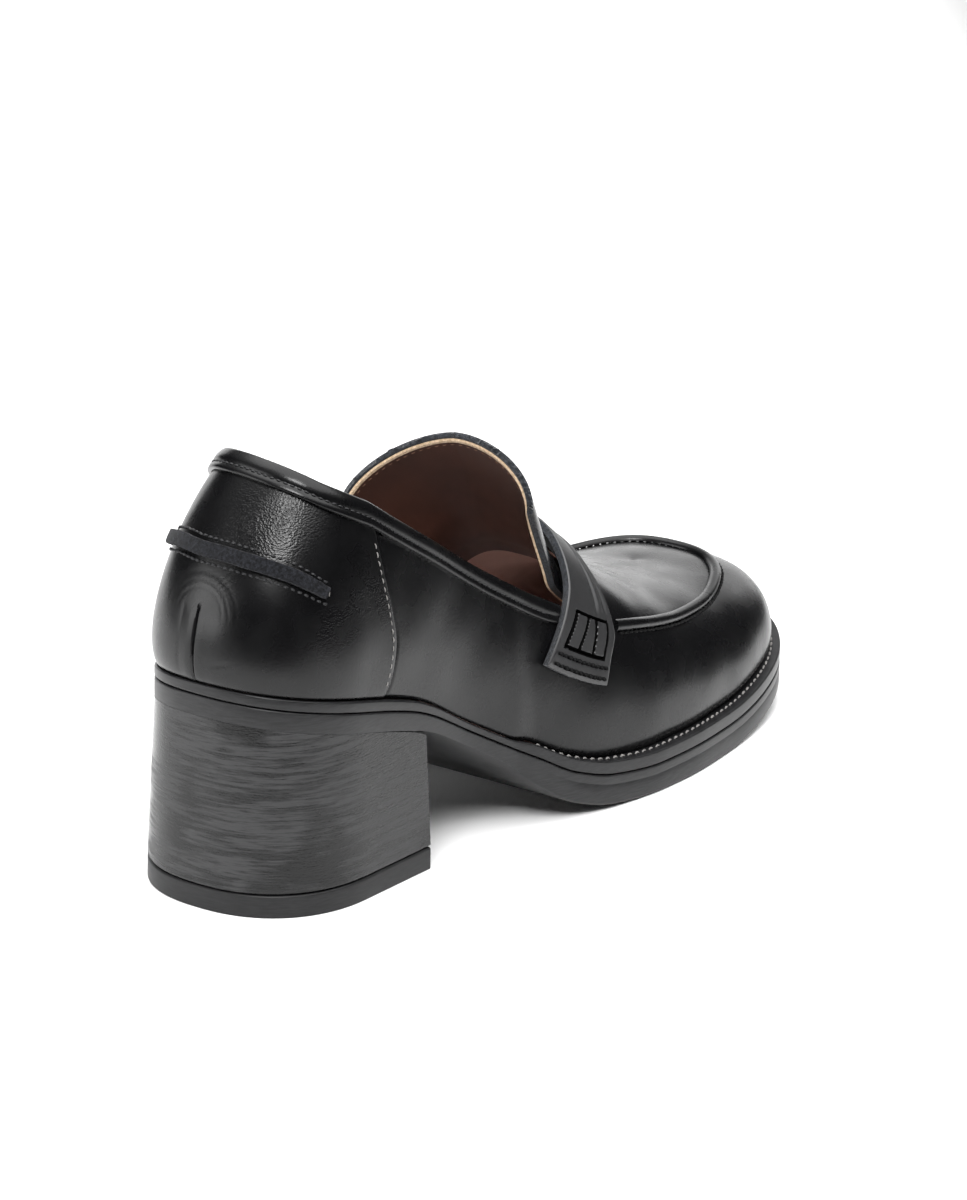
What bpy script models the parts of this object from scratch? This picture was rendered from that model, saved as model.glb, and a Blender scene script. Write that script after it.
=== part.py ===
"""Right shoe of a pair of women's loafer pumps: black leather on a stacked block heel.

Metres, +Z up, toe along +X, medial side along +Y. The tables and functions work in millimetres from
the back of the heel seat, and build() turns them into metres round the centre of the shoe's box.
"""

import math

import bmesh
import bpy
import numpy as np

MM = 0.001

# Driving sizes, in millimetres.
LENGTH = 246.0  # back of the heel tap to the tip of the welt
BACK = 1.8  # the heel seat stands in from the back of the tap
HEEL_ROUND = 31.0  # length of the rounded back of the sole's outline
HEEL_SQUARE = 2.32  # 2 is a round back, more is squarer
TOE_ROUND = 46.0
TOE_SQUARE = 2.4
BREAST = 59.5  # where the heel's front face meets the sole
GAP = 0.3  # between pieces that touch
WALL = 1.8  # upper leather with its lining
COUNTER_LIFT = 0.6  # thickness of the heel quarter laid over the upper
BINDING_LIFT = 1.0  # thickness of the folded topline band
BINDING_WIDTH = 6.6
SEAM_HEIGHT = 1.6  # the raised seam round the apron
SEAM_HALF_WIDTH = 1.7
TAP_HEIGHT = 6.2
TAP_ROUND = 0.7  # chamfers at the groove between heel and tap, and under the tap
HEEL_FLARE = 1.7  # how far the heel's foot stands out beyond the sole's outline
HEEL_FLARE_CURVE = 1.0
HEEL_SLANT = 0.4  # how far the heel's front face runs forward towards the floor
EDGE_ROUND = 0.5  # chamfers along the sole's edges
CORNER_DROP = 0.1  # the rounded lower corner of the sole's edge hangs a little fuller
WELT_BEVEL = 0.9
INSOLE_HEIGHT = 3.0  # footbed over the welt
INSOLE_CLEAR = 0.7  # between footbed and upper
INSOLE_DISH = 0.6
INSOLE_DISH_IN = 9.0  # the dish begins this far inside the footbed's edge
INSOLE_FOOT = 0.2  # chamfers along the footbed's lower and upper edge
INSOLE_BROW = 0.5
INSOLE_BACK = 3.0  # the footbed ends this far inside the outline's back and tip
INSOLE_TIP = 7.0
BINDING_TOP = 1.4  # how far the topline band stands over the upper's cut edge
BINDING_INSIDE = 5.0  # length of the band's inner leg
BINDING_CHAMFER = 0.7  # along the band's lower edge
BINDING_EDGE = 0.7  # thickness there, as a share of the band's
BINDING_ROLL = 2.0  # the fold is round down to this far below its top
BINDING_CROWN = 0.25  # the fold's shoulders lie this far below its top
BINDING_SHOULDER = 0.4  # how far out the outer shoulder stands, as a share of the band's thickness
BINDING_LINING = 0.8  # thickness of the inner leg, as a share of the outer leg's
BINDING_CLEAR = 0.8  # between the band's ends and the saddle strap
STRAP_MEETS_BAND = 0.36  # rise at which they meet
BINDING_END = 109.0  # last station of the band before it meets the saddle strap
HEEL_STRAP_TURN = 0.118  # the heel strap ends this far round on both sides
HEEL_STRAP_LIFT = 2.2
HEEL_STRAP_CHAMFER = 0.5
HEEL_STRAP_FLAT = 0.8  # share of its width that is flat
STRAP_SAG = 0.15  # extra gap under straps, for the curve between their sections
SEAM_START = 138.0  # where the apron's seam comes out from the saddle strap
SADDLE_THICK = 2.2
STRAP_LOW = 0.20  # rise of the saddle strap's ends
TONGUE_THICK = 2.4
TONGUE_UNDER = 0.95  # between the upper's lining and the tongue's foot
TONGUE_SIDE_RISE = 0.46
TONGUE_SQUARE = 1.7
TONGUE_CLEAR = 1.0  # under the saddle strap's back edge
TONGUE_HALF = 27.5
TONGUE_TILT = 2.2  # its lateral side stands higher by this, the medial side lower
TONGUE_MIDDLE_Y = -0.5
TONGUE_EDGE_X = 102.0  # back edge of the tongue at its sides, and at its middle
TONGUE_TOP_X = 110.4
TONGUE_EDGE_Z = 83.4
TONGUE_TOP_Z = 102.5
TONGUE_YAW = -6.0  # the tongue's lateral side stands forward by this much, the medial side back
TONGUE_FOOT = (10.0, 5.0, 1.0)  # how far in front of the throat's edge the rows of its foot lie
COLLAR_TILT = 0.11  # round the back the topline rises by this much for each millimetre to the medial side
COLLAR_TILT_START = 30.0  # x up to which it does so, and x at which it is level again
COLLAR_TILT_END = 42.0
FEATHER_FLAT = 0.08  # below this rise offsets turn level, so that the wall stands flat on the welt
END_SHARE = 0.004
JOIN = 0.02  # points closer than this are one point
SEAM_MIDDLE = 42.5  # x round which the edge of the heel quarter runs
SEAM_EDGE = 0.3
SEAM_REACH = 9.0
SEAM_FADE = 14.0  # length over which the topline band levels out in front of the quarter seam
SEAM_PROFILE = ((1.0, 0.0), (0.9, 0.65), (0.5, 1.0), (0.0, 1.12))  # apron seam: share of half width, height

# How finely the pieces are sectioned.
UPPER_ROWS = 11
ROW_SPREAD = 0.92  # below 1 sets the upper's rows closer towards the topline
HEEL_COUNT = 9  # round the heel
HEEL_FLANK_COUNT = 4
QUARTER_COUNT = 3  # from the heel round to the quarter seam
SIDE_COUNT = 13  # from the quarter seam to the throat
THROAT_COUNT = 7
FOREFOOT_COUNT = 9
TOE_COUNT = 10
STRAP_COUNT = 33
SEAM_SIDE_COUNT = 17
SEAM_TOE_COUNT = 13
SADDLE_ROUND_COUNT = 12
SADDLE_ACROSS_COUNT = 7
TONGUE_COUNT = 17
TONGUE_ROW_COUNT = 6
BISECTIONS = 24
RISE_STEP = 0.01  # small steps of rise and turn over which slopes are taken
TURN_STEP = 0.004
NORMAL_STEP = 0.012
END_CLEAR = 0.03  # on top, directions are taken at least this far round from the toe tip and the back
RIDGE_ZONE = 0.9  # rise above which that holds
NEAR_RIDGE = 0.98
AT_RIDGE = 0.999  # from this rise on the topline has closed over the ridge
SEAM_FAR = 0.001  # pull of the quarter seam that no longer counts

# Sole seen from above: centre line, half width, and the welt's margin outside the upper.
PLAN_COLUMNS = ("x", "centre", "half", "margin")
PLAN = (
    (2.0, 0.0, 29.4, 2.0),
    (31.0, 0.0, 29.6, 2.0),
    (60.0, -1.2, 28.4, 1.7),
    (80.0, -3.2, 26.6, 1.4),
    (96.0, -5.2, 27.8, 1.4),
    (103.0, -6.0, 30.2, 3.6),
    (115.0, -6.6, 34.2, 4.2),
    (132.0, -5.6, 39.0, 4.2),
    (150.0, -4.0, 42.6, 4.2),
    (168.0, -2.2, 44.0, 4.2),
    (190.0, -0.2, 43.2, 4.2),
    (215.0, 2.0, 40.6, 4.2),
    (246.0, 4.0, 38.0, 4.2),
)

# Sole seen from the side: the joint line between welt and outsole, the welt's thickness above it, the
# outsole's upright edge and full thickness below it, and how far the bevel under that edge runs in.
SIDE_COLUMNS = ("x", "joint_z", "welt", "edge", "depth", "bevel")
SIDE = (
    (2.0, 57.8, 3.2, 5.6, 5.6, 0.4),
    (30.0, 51.8, 3.2, 5.6, 5.6, 0.4),
    (54.0, 45.4, 3.0, 5.2, 5.6, 0.4),
    (62.0, 42.2, 2.8, 4.6, 6.0, 4.0),
    (80.0, 32.4, 2.3, 4.4, 7.8, 9.0),
    (94.0, 24.6, 2.4, 5.2, 8.0, 8.0),
    (103.0, 19.6, 3.7, 7.6, 9.0, 3.0),
    (114.0, 13.6, 3.9, 8.4, 9.0, 0.8),
    (128.0, 9.8, 3.9, 8.2, 8.8, 0.8),
    (146.0, 8.4, 3.9, 7.6, 8.4, 0.8),
    (182.0, 8.4, 3.9, 7.6, 8.4, 0.8),
    (214.0, 11.4, 3.9, 7.2, 8.0, 0.8),
    (246.0, 17.6, 3.9, 6.6, 7.4, 0.8),
)

# Shape of the last's arch over each point of the feather line.
ARCH_COLUMNS = ("x", "square", "bulge")
ARCH = (
    (0.0, 1.68, 3.6),
    (20.0, 1.74, 2.8),
    (45.0, 1.9, 2.2),
    (80.0, 2.0, 1.6),
    (115.0, 1.95, 1.4),
    (135.0, 2.05, 1.5),
    (152.0, 2.35, 1.6),
    (190.0, 2.6, 1.8),
    (246.0, 2.7, 1.6),
)

# Ridge of the last, where both sides of the arch meet. Behind the throat it runs on as a guide only.
RIDGE_COLUMNS = ("x", "y", "z")
RIDGE = (
    (57.0, 0.0, 134.0),
    (85.0, 0.0, 116.0),
    (110.0, 0.6, 96.0),
    (130.0, 1.2, 77.6),
    (140.0, 1.5, 68.4),
    (150.0, 1.8, 60.6),
    (160.0, 2.0, 54.8),
    (172.0, 2.2, 49.6),
    (190.0, 2.6, 44.6),
    (207.0, 3.0, 40.8),
)
RIDGE_BACK = 57.0
RIDGE_FRONT = 203.0
RIDGE_SOFTNESS = 16.0
SWELL_LOW = 0.5  # below 1 puts the fullest part of the arch nearer its foot

# Topline on both sides, as heights over the floor.
TOPLINE_COLUMNS = ("x", "lateral", "medial")
TOPLINE = (
    (10.0, 127.4, 127.4),
    (20.0, 120.3, 120.3),
    (36.0, 109.0, 109.2),
    (48.0, 100.6, 101.0),
    (60.0, 93.0, 93.6),
    (68.5, 87.6, 88.4),
    (87.0, 75.6, 76.6),
    (104.0, 65.4, 66.6),
    (115.0, 59.6, 60.8),
    (124.0, 55.5, 56.8),
)
THROAT_START = 118.0  # x of the foot's outline where the topline turns in towards the ridge
THROAT_END = 136.0

# Front edge of the heel quarter, by height.
SEAM_COLUMNS = ("z", "x")
SEAM = ((50.0, 41.4), (60.0, 44.3), (67.7, 45.4), (75.0, 44.2), (85.0, 41.6), (97.0, 38.9), (110.0, 36.6))

# Height of the heel strap's middle and half its width, by turn round the heel.
HEEL_STRAP_COLUMNS = ("turn", "z", "half")
HEEL_STRAP = (
    (-0.118, 85.9, 1.5),
    (-0.100, 88.4, 1.75),
    (-0.075, 91.1, 1.95),
    (-0.035, 93.4, 2.0),
    (0.000, 94.2, 2.0),
    (0.040, 94.2, 2.0),
    (0.095, 91.8, 1.8),
    (0.118, 89.4, 1.5),
)

# Rise of the seam round the apron.
APRON_COLUMNS = ("x", "lateral", "medial")
APRON = (
    (137.0, 0.40, 0.44),
    (160.0, 0.46, 0.48),
    (190.0, 0.54, 0.55),
    (215.0, 0.63, 0.63),
    (246.0, 0.70, 0.70),
)

# Back and front edge of the saddle strap, by rise.
SADDLE_COLUMNS = ("rise", "back", "front")
SADDLE = (
    (0.20, 105.4, 126.0),
    (0.27, 109.6, 129.2),
    (0.37, 115.6, 134.2),
    (0.47, 120.8, 135.4),
    (0.62, 125.8, 136.4),
    (0.78, 130.4, 139.6),
    (1.00, 132.5, 143.5),
)


def smooth_curve(xs, ys):
    """A monotone cubic through the points, as a function of numbers or arrays."""
    xs, ys = np.array(xs, float), np.array(ys, float)
    step = np.diff(xs)
    chord = np.diff(ys) / step
    slope = np.concatenate([chord[:1], np.zeros(len(xs) - 2), chord[-1:]])
    before, after = chord[:-1], chord[1:]
    same = before * after > 0
    slope[1:-1][same] = 2 * before[same] * after[same] / (before[same] + after[same])

    def at(x):
        x = np.clip(x, xs[0], xs[-1])
        i = np.clip(np.searchsorted(xs, x) - 1, 0, len(step) - 1)
        t = (x - xs[i]) / step[i]
        rise = (3 - 2 * t) * t * t
        lean = step[i] * t * (1 - t) * (slope[i] * (1 - t) - slope[i + 1] * t)
        return ys[i] + (ys[i + 1] - ys[i]) * rise + lean

    return at


def curves(columns, rows):
    """A smooth curve over the first column of a table for each of its other columns."""
    by_column = dict(zip(columns, zip(*rows)))
    xs = by_column.pop(columns[0])
    return {name: smooth_curve(xs, values) for name, values in by_column.items()}


PLAN_AT = curves(PLAN_COLUMNS, PLAN)
SIDE_AT = curves(SIDE_COLUMNS, SIDE)
ARCH_AT = curves(ARCH_COLUMNS, ARCH)
RIDGE_AT = curves(RIDGE_COLUMNS, RIDGE)
TOPLINE_AT = curves(TOPLINE_COLUMNS, TOPLINE)
SEAM_AT = curves(SEAM_COLUMNS, SEAM)
APRON_AT = curves(APRON_COLUMNS, APRON)
HEEL_STRAP_AT = curves(HEEL_STRAP_COLUMNS, HEEL_STRAP)
SADDLE_AT = curves(SADDLE_COLUMNS, SADDLE)

# Share of the way round at which the outline changes from heel to side and from side to toe.
HEEL_SHARE = 0.18
TOE_SHARE = 0.78


def station_x(share):
    """x of the outline at a share of the way from the centre back (0) to the toe tip (1)."""
    heel = BACK + HEEL_ROUND * (1 - np.cos(np.clip(share / HEEL_SHARE, 0, 1) * math.pi / 2))
    toe_turn = np.clip((1 - share) / (1 - TOE_SHARE), 0, 1) * math.pi / 2
    toe = LENGTH - TOE_ROUND * (1 - np.cos(toe_turn))
    along = np.clip((share - HEEL_SHARE) / (TOE_SHARE - HEEL_SHARE), 0, 1)
    side = BACK + HEEL_ROUND + (LENGTH - TOE_ROUND - HEEL_ROUND - BACK) * along
    return np.where(share < HEEL_SHARE, heel, np.where(share > TOE_SHARE, toe, side))


def share_of(x):
    """The inverse of station_x."""
    shares = np.linspace(0, 1, 2001)
    return np.interp(x, station_x(shares), shares)


def end_round(distance, reach, square):
    """Share of the full width that the outline has at a distance from its end."""
    t = np.clip(1 - distance / reach, 0, 1)
    return (1 - t**square) ** (1 / square)


def outline(turn):
    """Sole's edge from above. turn runs from -1 to 1: 0 is the centre back, below 0 the lateral side."""
    turn = (np.asarray(turn, float) + 1) % 2 - 1
    x = station_x(np.abs(turn))
    half = PLAN_AT["half"](x) * end_round(x - BACK, HEEL_ROUND, HEEL_SQUARE)
    half = half * end_round(LENGTH - x, TOE_ROUND, TOE_SQUARE)
    return np.stack([x, PLAN_AT["centre"](x) + np.sign(turn) * half], -1)


def inset_outline(turn, inset):
    """The outline moved inwards, and its outward direction."""
    tangent = outline(turn + TURN_STEP) - outline(turn - TURN_STEP)
    tangent /= np.linalg.norm(tangent, axis=-1, keepdims=True)
    outward = np.stack([-tangent[..., 1], tangent[..., 0]], -1)
    return outline(turn) - outward * np.asarray(inset)[..., None], outward


def soft_above(x, limit):
    """x where it is well above the limit, and the limit where it is well below."""
    d = x - limit
    return limit + (d + np.sqrt(d * d + RIDGE_SOFTNESS**2)) / 2


def last_point(turn, rise):
    """Outer surface of the upper. rise is 0 at the feather line and 1 on the ridge."""
    turn, rise = np.broadcast_arrays(np.asarray(turn, float), np.asarray(rise, float))
    turn = np.where(rise > 1, -turn, turn)
    rise = np.where(rise > 1, 2 - rise, rise)
    x = station_x(np.abs((turn + 1) % 2 - 1))
    foot, outward = inset_outline(turn, PLAN_AT["margin"](x))
    foot_z = SIDE_AT["joint_z"](foot[..., 0]) + SIDE_AT["welt"](foot[..., 0]) + GAP
    ridge_x = soft_above(x, RIDGE_BACK)
    ridge_x = LENGTH - soft_above(LENGTH - ridge_x, LENGTH - RIDGE_FRONT)
    square = ARCH_AT["square"](x)
    angle = np.clip(rise, 0, 1) * math.pi / 2
    inward = 1 - np.cos(angle) ** (2 / square)
    upward = np.sin(angle) ** (2 / square)
    ridge = np.stack([ridge_x, RIDGE_AT["y"](ridge_x)], -1)
    swell = ARCH_AT["bulge"](x) * np.sin(math.pi * upward**SWELL_LOW)
    plan = foot + (ridge - foot) * inward[..., None] + outward * swell[..., None]
    z = foot_z + (RIDGE_AT["z"](ridge_x) - foot_z) * upward
    return np.concatenate([plan, z[..., None]], -1)


def last_normal(turn, rise):
    """Outward direction of the upper's surface."""
    turn, rise = np.broadcast_arrays(np.asarray(turn, float), np.asarray(rise, float))
    clear = np.copysign(np.clip(np.abs(turn), END_CLEAR, 1 - END_CLEAR), turn)
    turn = np.where(rise > RIDGE_ZONE, clear, turn)
    low = np.maximum(rise - NORMAL_STEP, 0.0)
    across = last_point(turn, rise + NORMAL_STEP) - last_point(turn, low)
    along = last_point(turn + NORMAL_STEP, rise) - last_point(turn - NORMAL_STEP, rise)
    normal = np.cross(across, along)
    return normal / np.linalg.norm(normal, axis=-1, keepdims=True)


def skin(turn, rise, out):
    """A point at a distance outside the upper's surface; out is negative inside it."""
    normal = last_normal(turn, rise)
    normal[..., 2] *= np.clip(rise / FEATHER_FLAT, 0, 1)
    normal /= np.linalg.norm(normal, axis=-1, keepdims=True)
    return last_point(turn, rise) + normal * np.asarray(out)[..., None]


def rise_at_height(turn, height):
    """Rise at which the upper's surface reaches a height; height takes the surface's points."""
    turn = np.asarray(turn, float)
    low, high = np.zeros(turn.shape), np.ones(turn.shape)
    for _ in range(BISECTIONS):
        middle = (low + high) / 2
        point = last_point(turn, middle)
        above = point[..., 2] > height(point, turn)
        low, high = np.where(above, low, middle), np.where(above, middle, high)
    return low


def topline_height(point, turn):
    """Height of the collar's edge over a point of the upper."""
    x = point[..., 0]
    level = np.where(turn < 0, TOPLINE_AT["lateral"](x), TOPLINE_AT["medial"](x))
    tilted = np.clip((COLLAR_TILT_END - x) / (COLLAR_TILT_END - COLLAR_TILT_START), 0, 1)
    return level + COLLAR_TILT * tilted * point[..., 1]


def heel_strap_height(point, turn):
    """Height of the middle of the heel strap."""
    del point
    return HEEL_STRAP_AT["z"](turn)


def topline_rise(turn):
    """Rise of the collar's edge, which turns up to the ridge at the throat and stays there in front."""
    low = rise_at_height(turn, topline_height)
    x = station_x(np.abs(turn))
    share = np.clip((x - THROAT_START) / (THROAT_END - THROAT_START), 0, 1)
    return low + (1 - low) * (1 - np.sqrt(1 - share**2))


def throat_x(rise, side):
    """x of the throat's edge at a rise, the inverse of topline_rise in front of the collar."""
    turn = np.full(np.shape(rise), side * share_of(THROAT_START))
    low = rise_at_height(turn, topline_height)
    above = np.clip((rise - low) / (1 - low), 0, 1)
    return THROAT_START + (THROAT_END - THROAT_START) * np.sqrt(1 - (1 - above) ** 2)


def rise_per_mm(turn, rise):
    """How much rise one millimetre up the surface takes."""
    span = last_point(turn, rise + RISE_STEP) - last_point(turn, rise - RISE_STEP)
    return 2 * RISE_STEP / np.linalg.norm(span, axis=-1)


def stations():
    """Shares of the way from the heel (0) to the toe (1) at which the pieces are sectioned."""
    throat_turn = np.linspace(0, math.pi / 2, THROAT_COUNT)[1:]
    xs = [
        np.linspace(BACK + HEEL_ROUND, SEAM_MIDDLE, QUARTER_COUNT)[1:-1],
        [SEAM_MIDDLE - SEAM_EDGE, SEAM_MIDDLE + SEAM_EDGE],
        np.linspace(SEAM_MIDDLE, THROAT_START, SIDE_COUNT)[1:],
        THROAT_START + (THROAT_END - THROAT_START) * np.sin(throat_turn),
        np.linspace(THROAT_END, LENGTH - TOE_ROUND, FOREFOOT_COUNT)[1:-1],
    ]
    heel = np.linspace(0, HEEL_SHARE, HEEL_COUNT)
    toe = np.linspace(TOE_SHARE, 1, TOE_COUNT)
    return np.concatenate([heel, share_of(np.concatenate(xs)), toe])


def around(shares):
    """Turns right round the shoe, from the toe along the lateral side and back along the medial."""
    return np.concatenate([-shares[::-1], shares[1:-1]])


def seam_turn(turn, rise):
    """Stations near the quarter seam pulled onto its curve, so that its edge runs between two."""
    share = np.abs(turn)
    x = station_x(share)
    z = last_point(turn, rise)[..., 2]
    near = np.exp(-(((x - SEAM_MIDDLE) / SEAM_REACH) ** 2))
    moved = share_of(x + (SEAM_AT["x"](z) - SEAM_MIDDLE) * near)
    return np.where(near > SEAM_FAR, np.copysign(moved, turn), turn)


def behind_seam(turn):
    """1 for a station of the heel quarter and 0 in front of its edge."""
    return np.where(station_x(np.abs(turn)) < SEAM_MIDDLE, 1.0, 0.0)


def quad_faces(count_u, count_v, wrap_u=False, wrap_v=False):
    """Faces of a grid of points, given by their numbers."""
    index = np.arange(count_u * count_v).reshape(count_u, count_v)
    if wrap_u:
        index = np.concatenate([index, index[:1]], 0)
    if wrap_v:
        index = np.concatenate([index, index[:, :1]], 1)
    corners = (index[:-1, :-1], index[1:, :-1], index[1:, 1:], index[:-1, 1:])
    return np.stack(corners, -1).reshape(-1, 4)


def make_solid(name, points, faces, material):
    """One closed mesh object from points in millimetres and faces; points that coincide are joined."""
    mesh = bpy.data.meshes.new(name)
    place = np.asarray(points, float).reshape(-1, 3)
    mesh.from_pydata([tuple(p) for p in place * MM], [], [tuple(int(i) for i in f) for f in faces])
    shape = bmesh.new()
    shape.from_mesh(mesh)
    bmesh.ops.remove_doubles(shape, verts=shape.verts, dist=JOIN * MM)
    bmesh.ops.dissolve_degenerate(shape, edges=shape.edges, dist=JOIN * MM)
    bmesh.ops.recalc_face_normals(shape, faces=shape.faces)
    shape.to_mesh(mesh)
    shape.free()
    mesh.materials.append(material)
    for face in mesh.polygons:
        face.use_smooth = False
    piece = bpy.data.objects.new(name, mesh)
    bpy.context.scene.collection.objects.link(piece)
    return piece


def lofted(name, sections, material, wrap=False):
    """A solid through closed sections; without wrap its two end sections become flat caps."""
    count, sides = sections.shape[:2]
    faces = [list(f) for f in quad_faces(count, sides, wrap_u=wrap, wrap_v=True)]
    if not wrap:
        faces.append(list(range(sides)))
        faces.append([(count - 1) * sides + i for i in range(sides)])
    return make_solid(name, sections, faces, material)


def walled(name, outer, inner, material):
    """A solid between two grids of the same size, closed by strips along its four edges."""
    count_u, count_v = outer.shape[:2]
    quads = quad_faces(count_u, count_v)
    total = count_u * count_v
    index = np.arange(total).reshape(count_u, count_v)
    faces = [list(f) for f in quads] + [list(f[::-1] + total) for f in quads]
    for edge in (index[0], index[-1], index[:, 0], index[:, -1]):
        faces += [[a, b, b + total, a + total] for a, b in zip(edge[:-1], edge[1:])]
    return make_solid(name, np.concatenate([outer.reshape(-1, 3), inner.reshape(-1, 3)]), faces, material)


def grid_normals(grid):
    """Directions at right angles to a grid of points."""
    normal = np.cross(np.gradient(grid, axis=0), np.gradient(grid, axis=1))
    return normal / np.linalg.norm(normal, axis=-1, keepdims=True)


def plate_sections(shares, edge_rows):
    """Sections across a plate, from rows of (inset, z) down its edge; both sides are the same rows."""
    sections = []
    for share in shares:
        rows = edge_rows(station_x(share))
        lateral, medial = [], []
        for row, (inset, _) in enumerate(rows):
            for side, points in ((-1, lateral), (1, medial)):
                place = inset_outline(np.array(side * share), np.array(inset))[0]
                points.append((place[0], place[1], edge_rows(place[0])[row][1]))
        sections.append(lateral + medial[::-1])
    return np.array(sections)


def end_shares(shares):
    """Shares for a plate: its two ends are drawn in a little, so that each ends in a narrow face."""
    ends = shares.copy()
    ends[0], ends[-1] = END_SHARE, 1 - END_SHARE
    return ends


def build_outsole(material):
    """Sole layer from heel seat to toe, with an upright edge and a bevel under the waist."""

    def rows(x):
        joint = SIDE_AT["joint_z"](x) - GAP / 2
        edge = SIDE_AT["joint_z"](x) - SIDE_AT["edge"](x)
        under = SIDE_AT["joint_z"](x) - SIDE_AT["depth"](x)
        bevel = SIDE_AT["bevel"](x)
        corner = min(EDGE_ROUND, bevel)
        return (
            (EDGE_ROUND, joint),
            (0.0, joint - EDGE_ROUND),
            (0.0, (joint + edge) / 2),
            (0.0, edge),
            (corner, edge - (edge - under) * corner / bevel - CORNER_DROP),
            (bevel, under),
        )

    return lofted("outsole", plate_sections(end_shares(stations()), rows), material)


def build_welt(material):
    """Layer between upper and outsole: rand at the heel, thin at the waist, stitched welt in front."""

    def rows(x):
        low = SIDE_AT["joint_z"](x) + GAP / 2
        high = SIDE_AT["joint_z"](x) + SIDE_AT["welt"](x)
        return ((EDGE_ROUND, low), (0.0, low + EDGE_ROUND), (0.0, high - WELT_BEVEL), (WELT_BEVEL, high))

    return lofted("welt", plate_sections(end_shares(stations()), rows), material)


def build_insole(material):
    """Footbed plate inside the upper, on the welt."""

    def rows(x):
        base = SIDE_AT["joint_z"](x) + SIDE_AT["welt"](x) + GAP
        inset = PLAN_AT["margin"](x) + WALL + INSOLE_CLEAR
        return (
            (inset + INSOLE_FOOT, base),
            (inset, base + INSOLE_HEIGHT / 2),
            (inset + INSOLE_BROW, base + INSOLE_HEIGHT),
            (inset + INSOLE_DISH_IN, base + INSOLE_HEIGHT - INSOLE_DISH),
        )

    shares = stations()
    xs = station_x(shares)
    inside = shares[(xs > BACK + INSOLE_BACK) & (xs < LENGTH - INSOLE_TIP)]
    return lofted("insole", plate_sections(inside, rows), material)


def heel_shares():
    """Shares at which the heel block and its tap are sectioned."""
    rounded = np.linspace(END_SHARE, HEEL_SHARE, HEEL_COUNT)
    flank = share_of(np.linspace(BACK + HEEL_ROUND, BREAST, HEEL_FLANK_COUNT)[1:])
    return np.concatenate([rounded, flank])


def heel_top(x):
    """Height of the heel's top face, close under the outsole."""
    return SIDE_AT["joint_z"](x) - SIDE_AT["depth"](x) - GAP


def heel_sections(rows):
    """Sections across the heel from rows of (inset, level, lift).

    A level of 0 is the heel's foot and 1 its top face, and the lift is added to that height.
    """
    shares = heel_shares()
    sections = []
    for share in shares:
        lateral, medial = [], []
        seat_x = station_x(share)
        for inset, level, lift in rows:
            flare = HEEL_FLARE * (1 - level) ** HEEL_FLARE_CURVE
            shift = (1 - level) * HEEL_SLANT * np.clip((seat_x - HEEL_ROUND) / (BREAST - HEEL_ROUND), 0, 1)
            for side, points in ((-1, lateral), (1, medial)):
                place = inset_outline(np.array(side * share), np.array(inset - flare))[0]
                x = place[0] + shift if share < shares[-1] else BREAST + HEEL_SLANT * (1 - level)
                points.append((x, place[1], heel_top(place[0]) * level + lift))
        sections.append(lateral + medial[::-1])
    return np.array(sections)


def build_heel(material):
    """Stacked block heel, flared a little towards the floor."""
    levels = (1.0, 0.75, 0.5, 0.25)
    base = TAP_HEIGHT + GAP
    rows = [(0.0, level, base * (1 - level)) for level in levels]
    rows += [(0.0, 0.0, base + TAP_ROUND), (TAP_ROUND, 0.0, base)]
    return lofted("heel", heel_sections(rows), material)


def build_tap(material):
    """Rubber top piece under the heel; its underside is the heel's flat spot on the floor."""
    rows = [
        (TAP_ROUND, 0.0, TAP_HEIGHT),
        (0.0, 0.0, TAP_HEIGHT - TAP_ROUND),
        (0.0, 0.0, TAP_ROUND / 2),
        (TAP_ROUND / 2, 0.0, 0.0),
    ]
    return lofted("heel_tap", heel_sections(rows), material)


def build_upper(material):
    """Vamp, quarters and apron as one hollow leather shell, with the heel quarter a step thicker."""
    turns = around(stations())
    shares = np.linspace(0, 1, UPPER_ROWS) ** ROW_SPREAD
    edge = topline_rise(turns)
    open_top = edge < AT_RIDGE
    down = np.where(open_top, (BINDING_TOP + GAP) * rise_per_mm(turns, np.minimum(edge, NEAR_RIDGE)), 0)
    rise = shares[None, :] * (edge - down)[:, None]
    turn = np.broadcast_to(turns[:, None], rise.shape)
    warped = seam_turn(turn, rise)
    outer = skin(warped, rise, COUNTER_LIFT * behind_seam(turn))
    inner = skin(warped, rise, -WALL * np.ones(rise.shape))
    count_u, count_v = rise.shape
    quads = quad_faces(count_u, count_v, wrap_u=True)
    total = count_u * count_v
    faces = [list(f) for f in quads] + [list(f[::-1] + total) for f in quads]
    for i in range(count_u):
        a, b = i * count_v, (i + 1) % count_u * count_v
        faces.append([a, b, b + total, a + total])
        if open_top[i] or open_top[(i + 1) % count_u]:
            a, b = a + count_v - 1, b + count_v - 1
            faces.append([a, b, b + total, a + total])
    return make_solid("upper", np.concatenate([outer.reshape(-1, 3), inner.reshape(-1, 3)]), faces, material)


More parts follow.
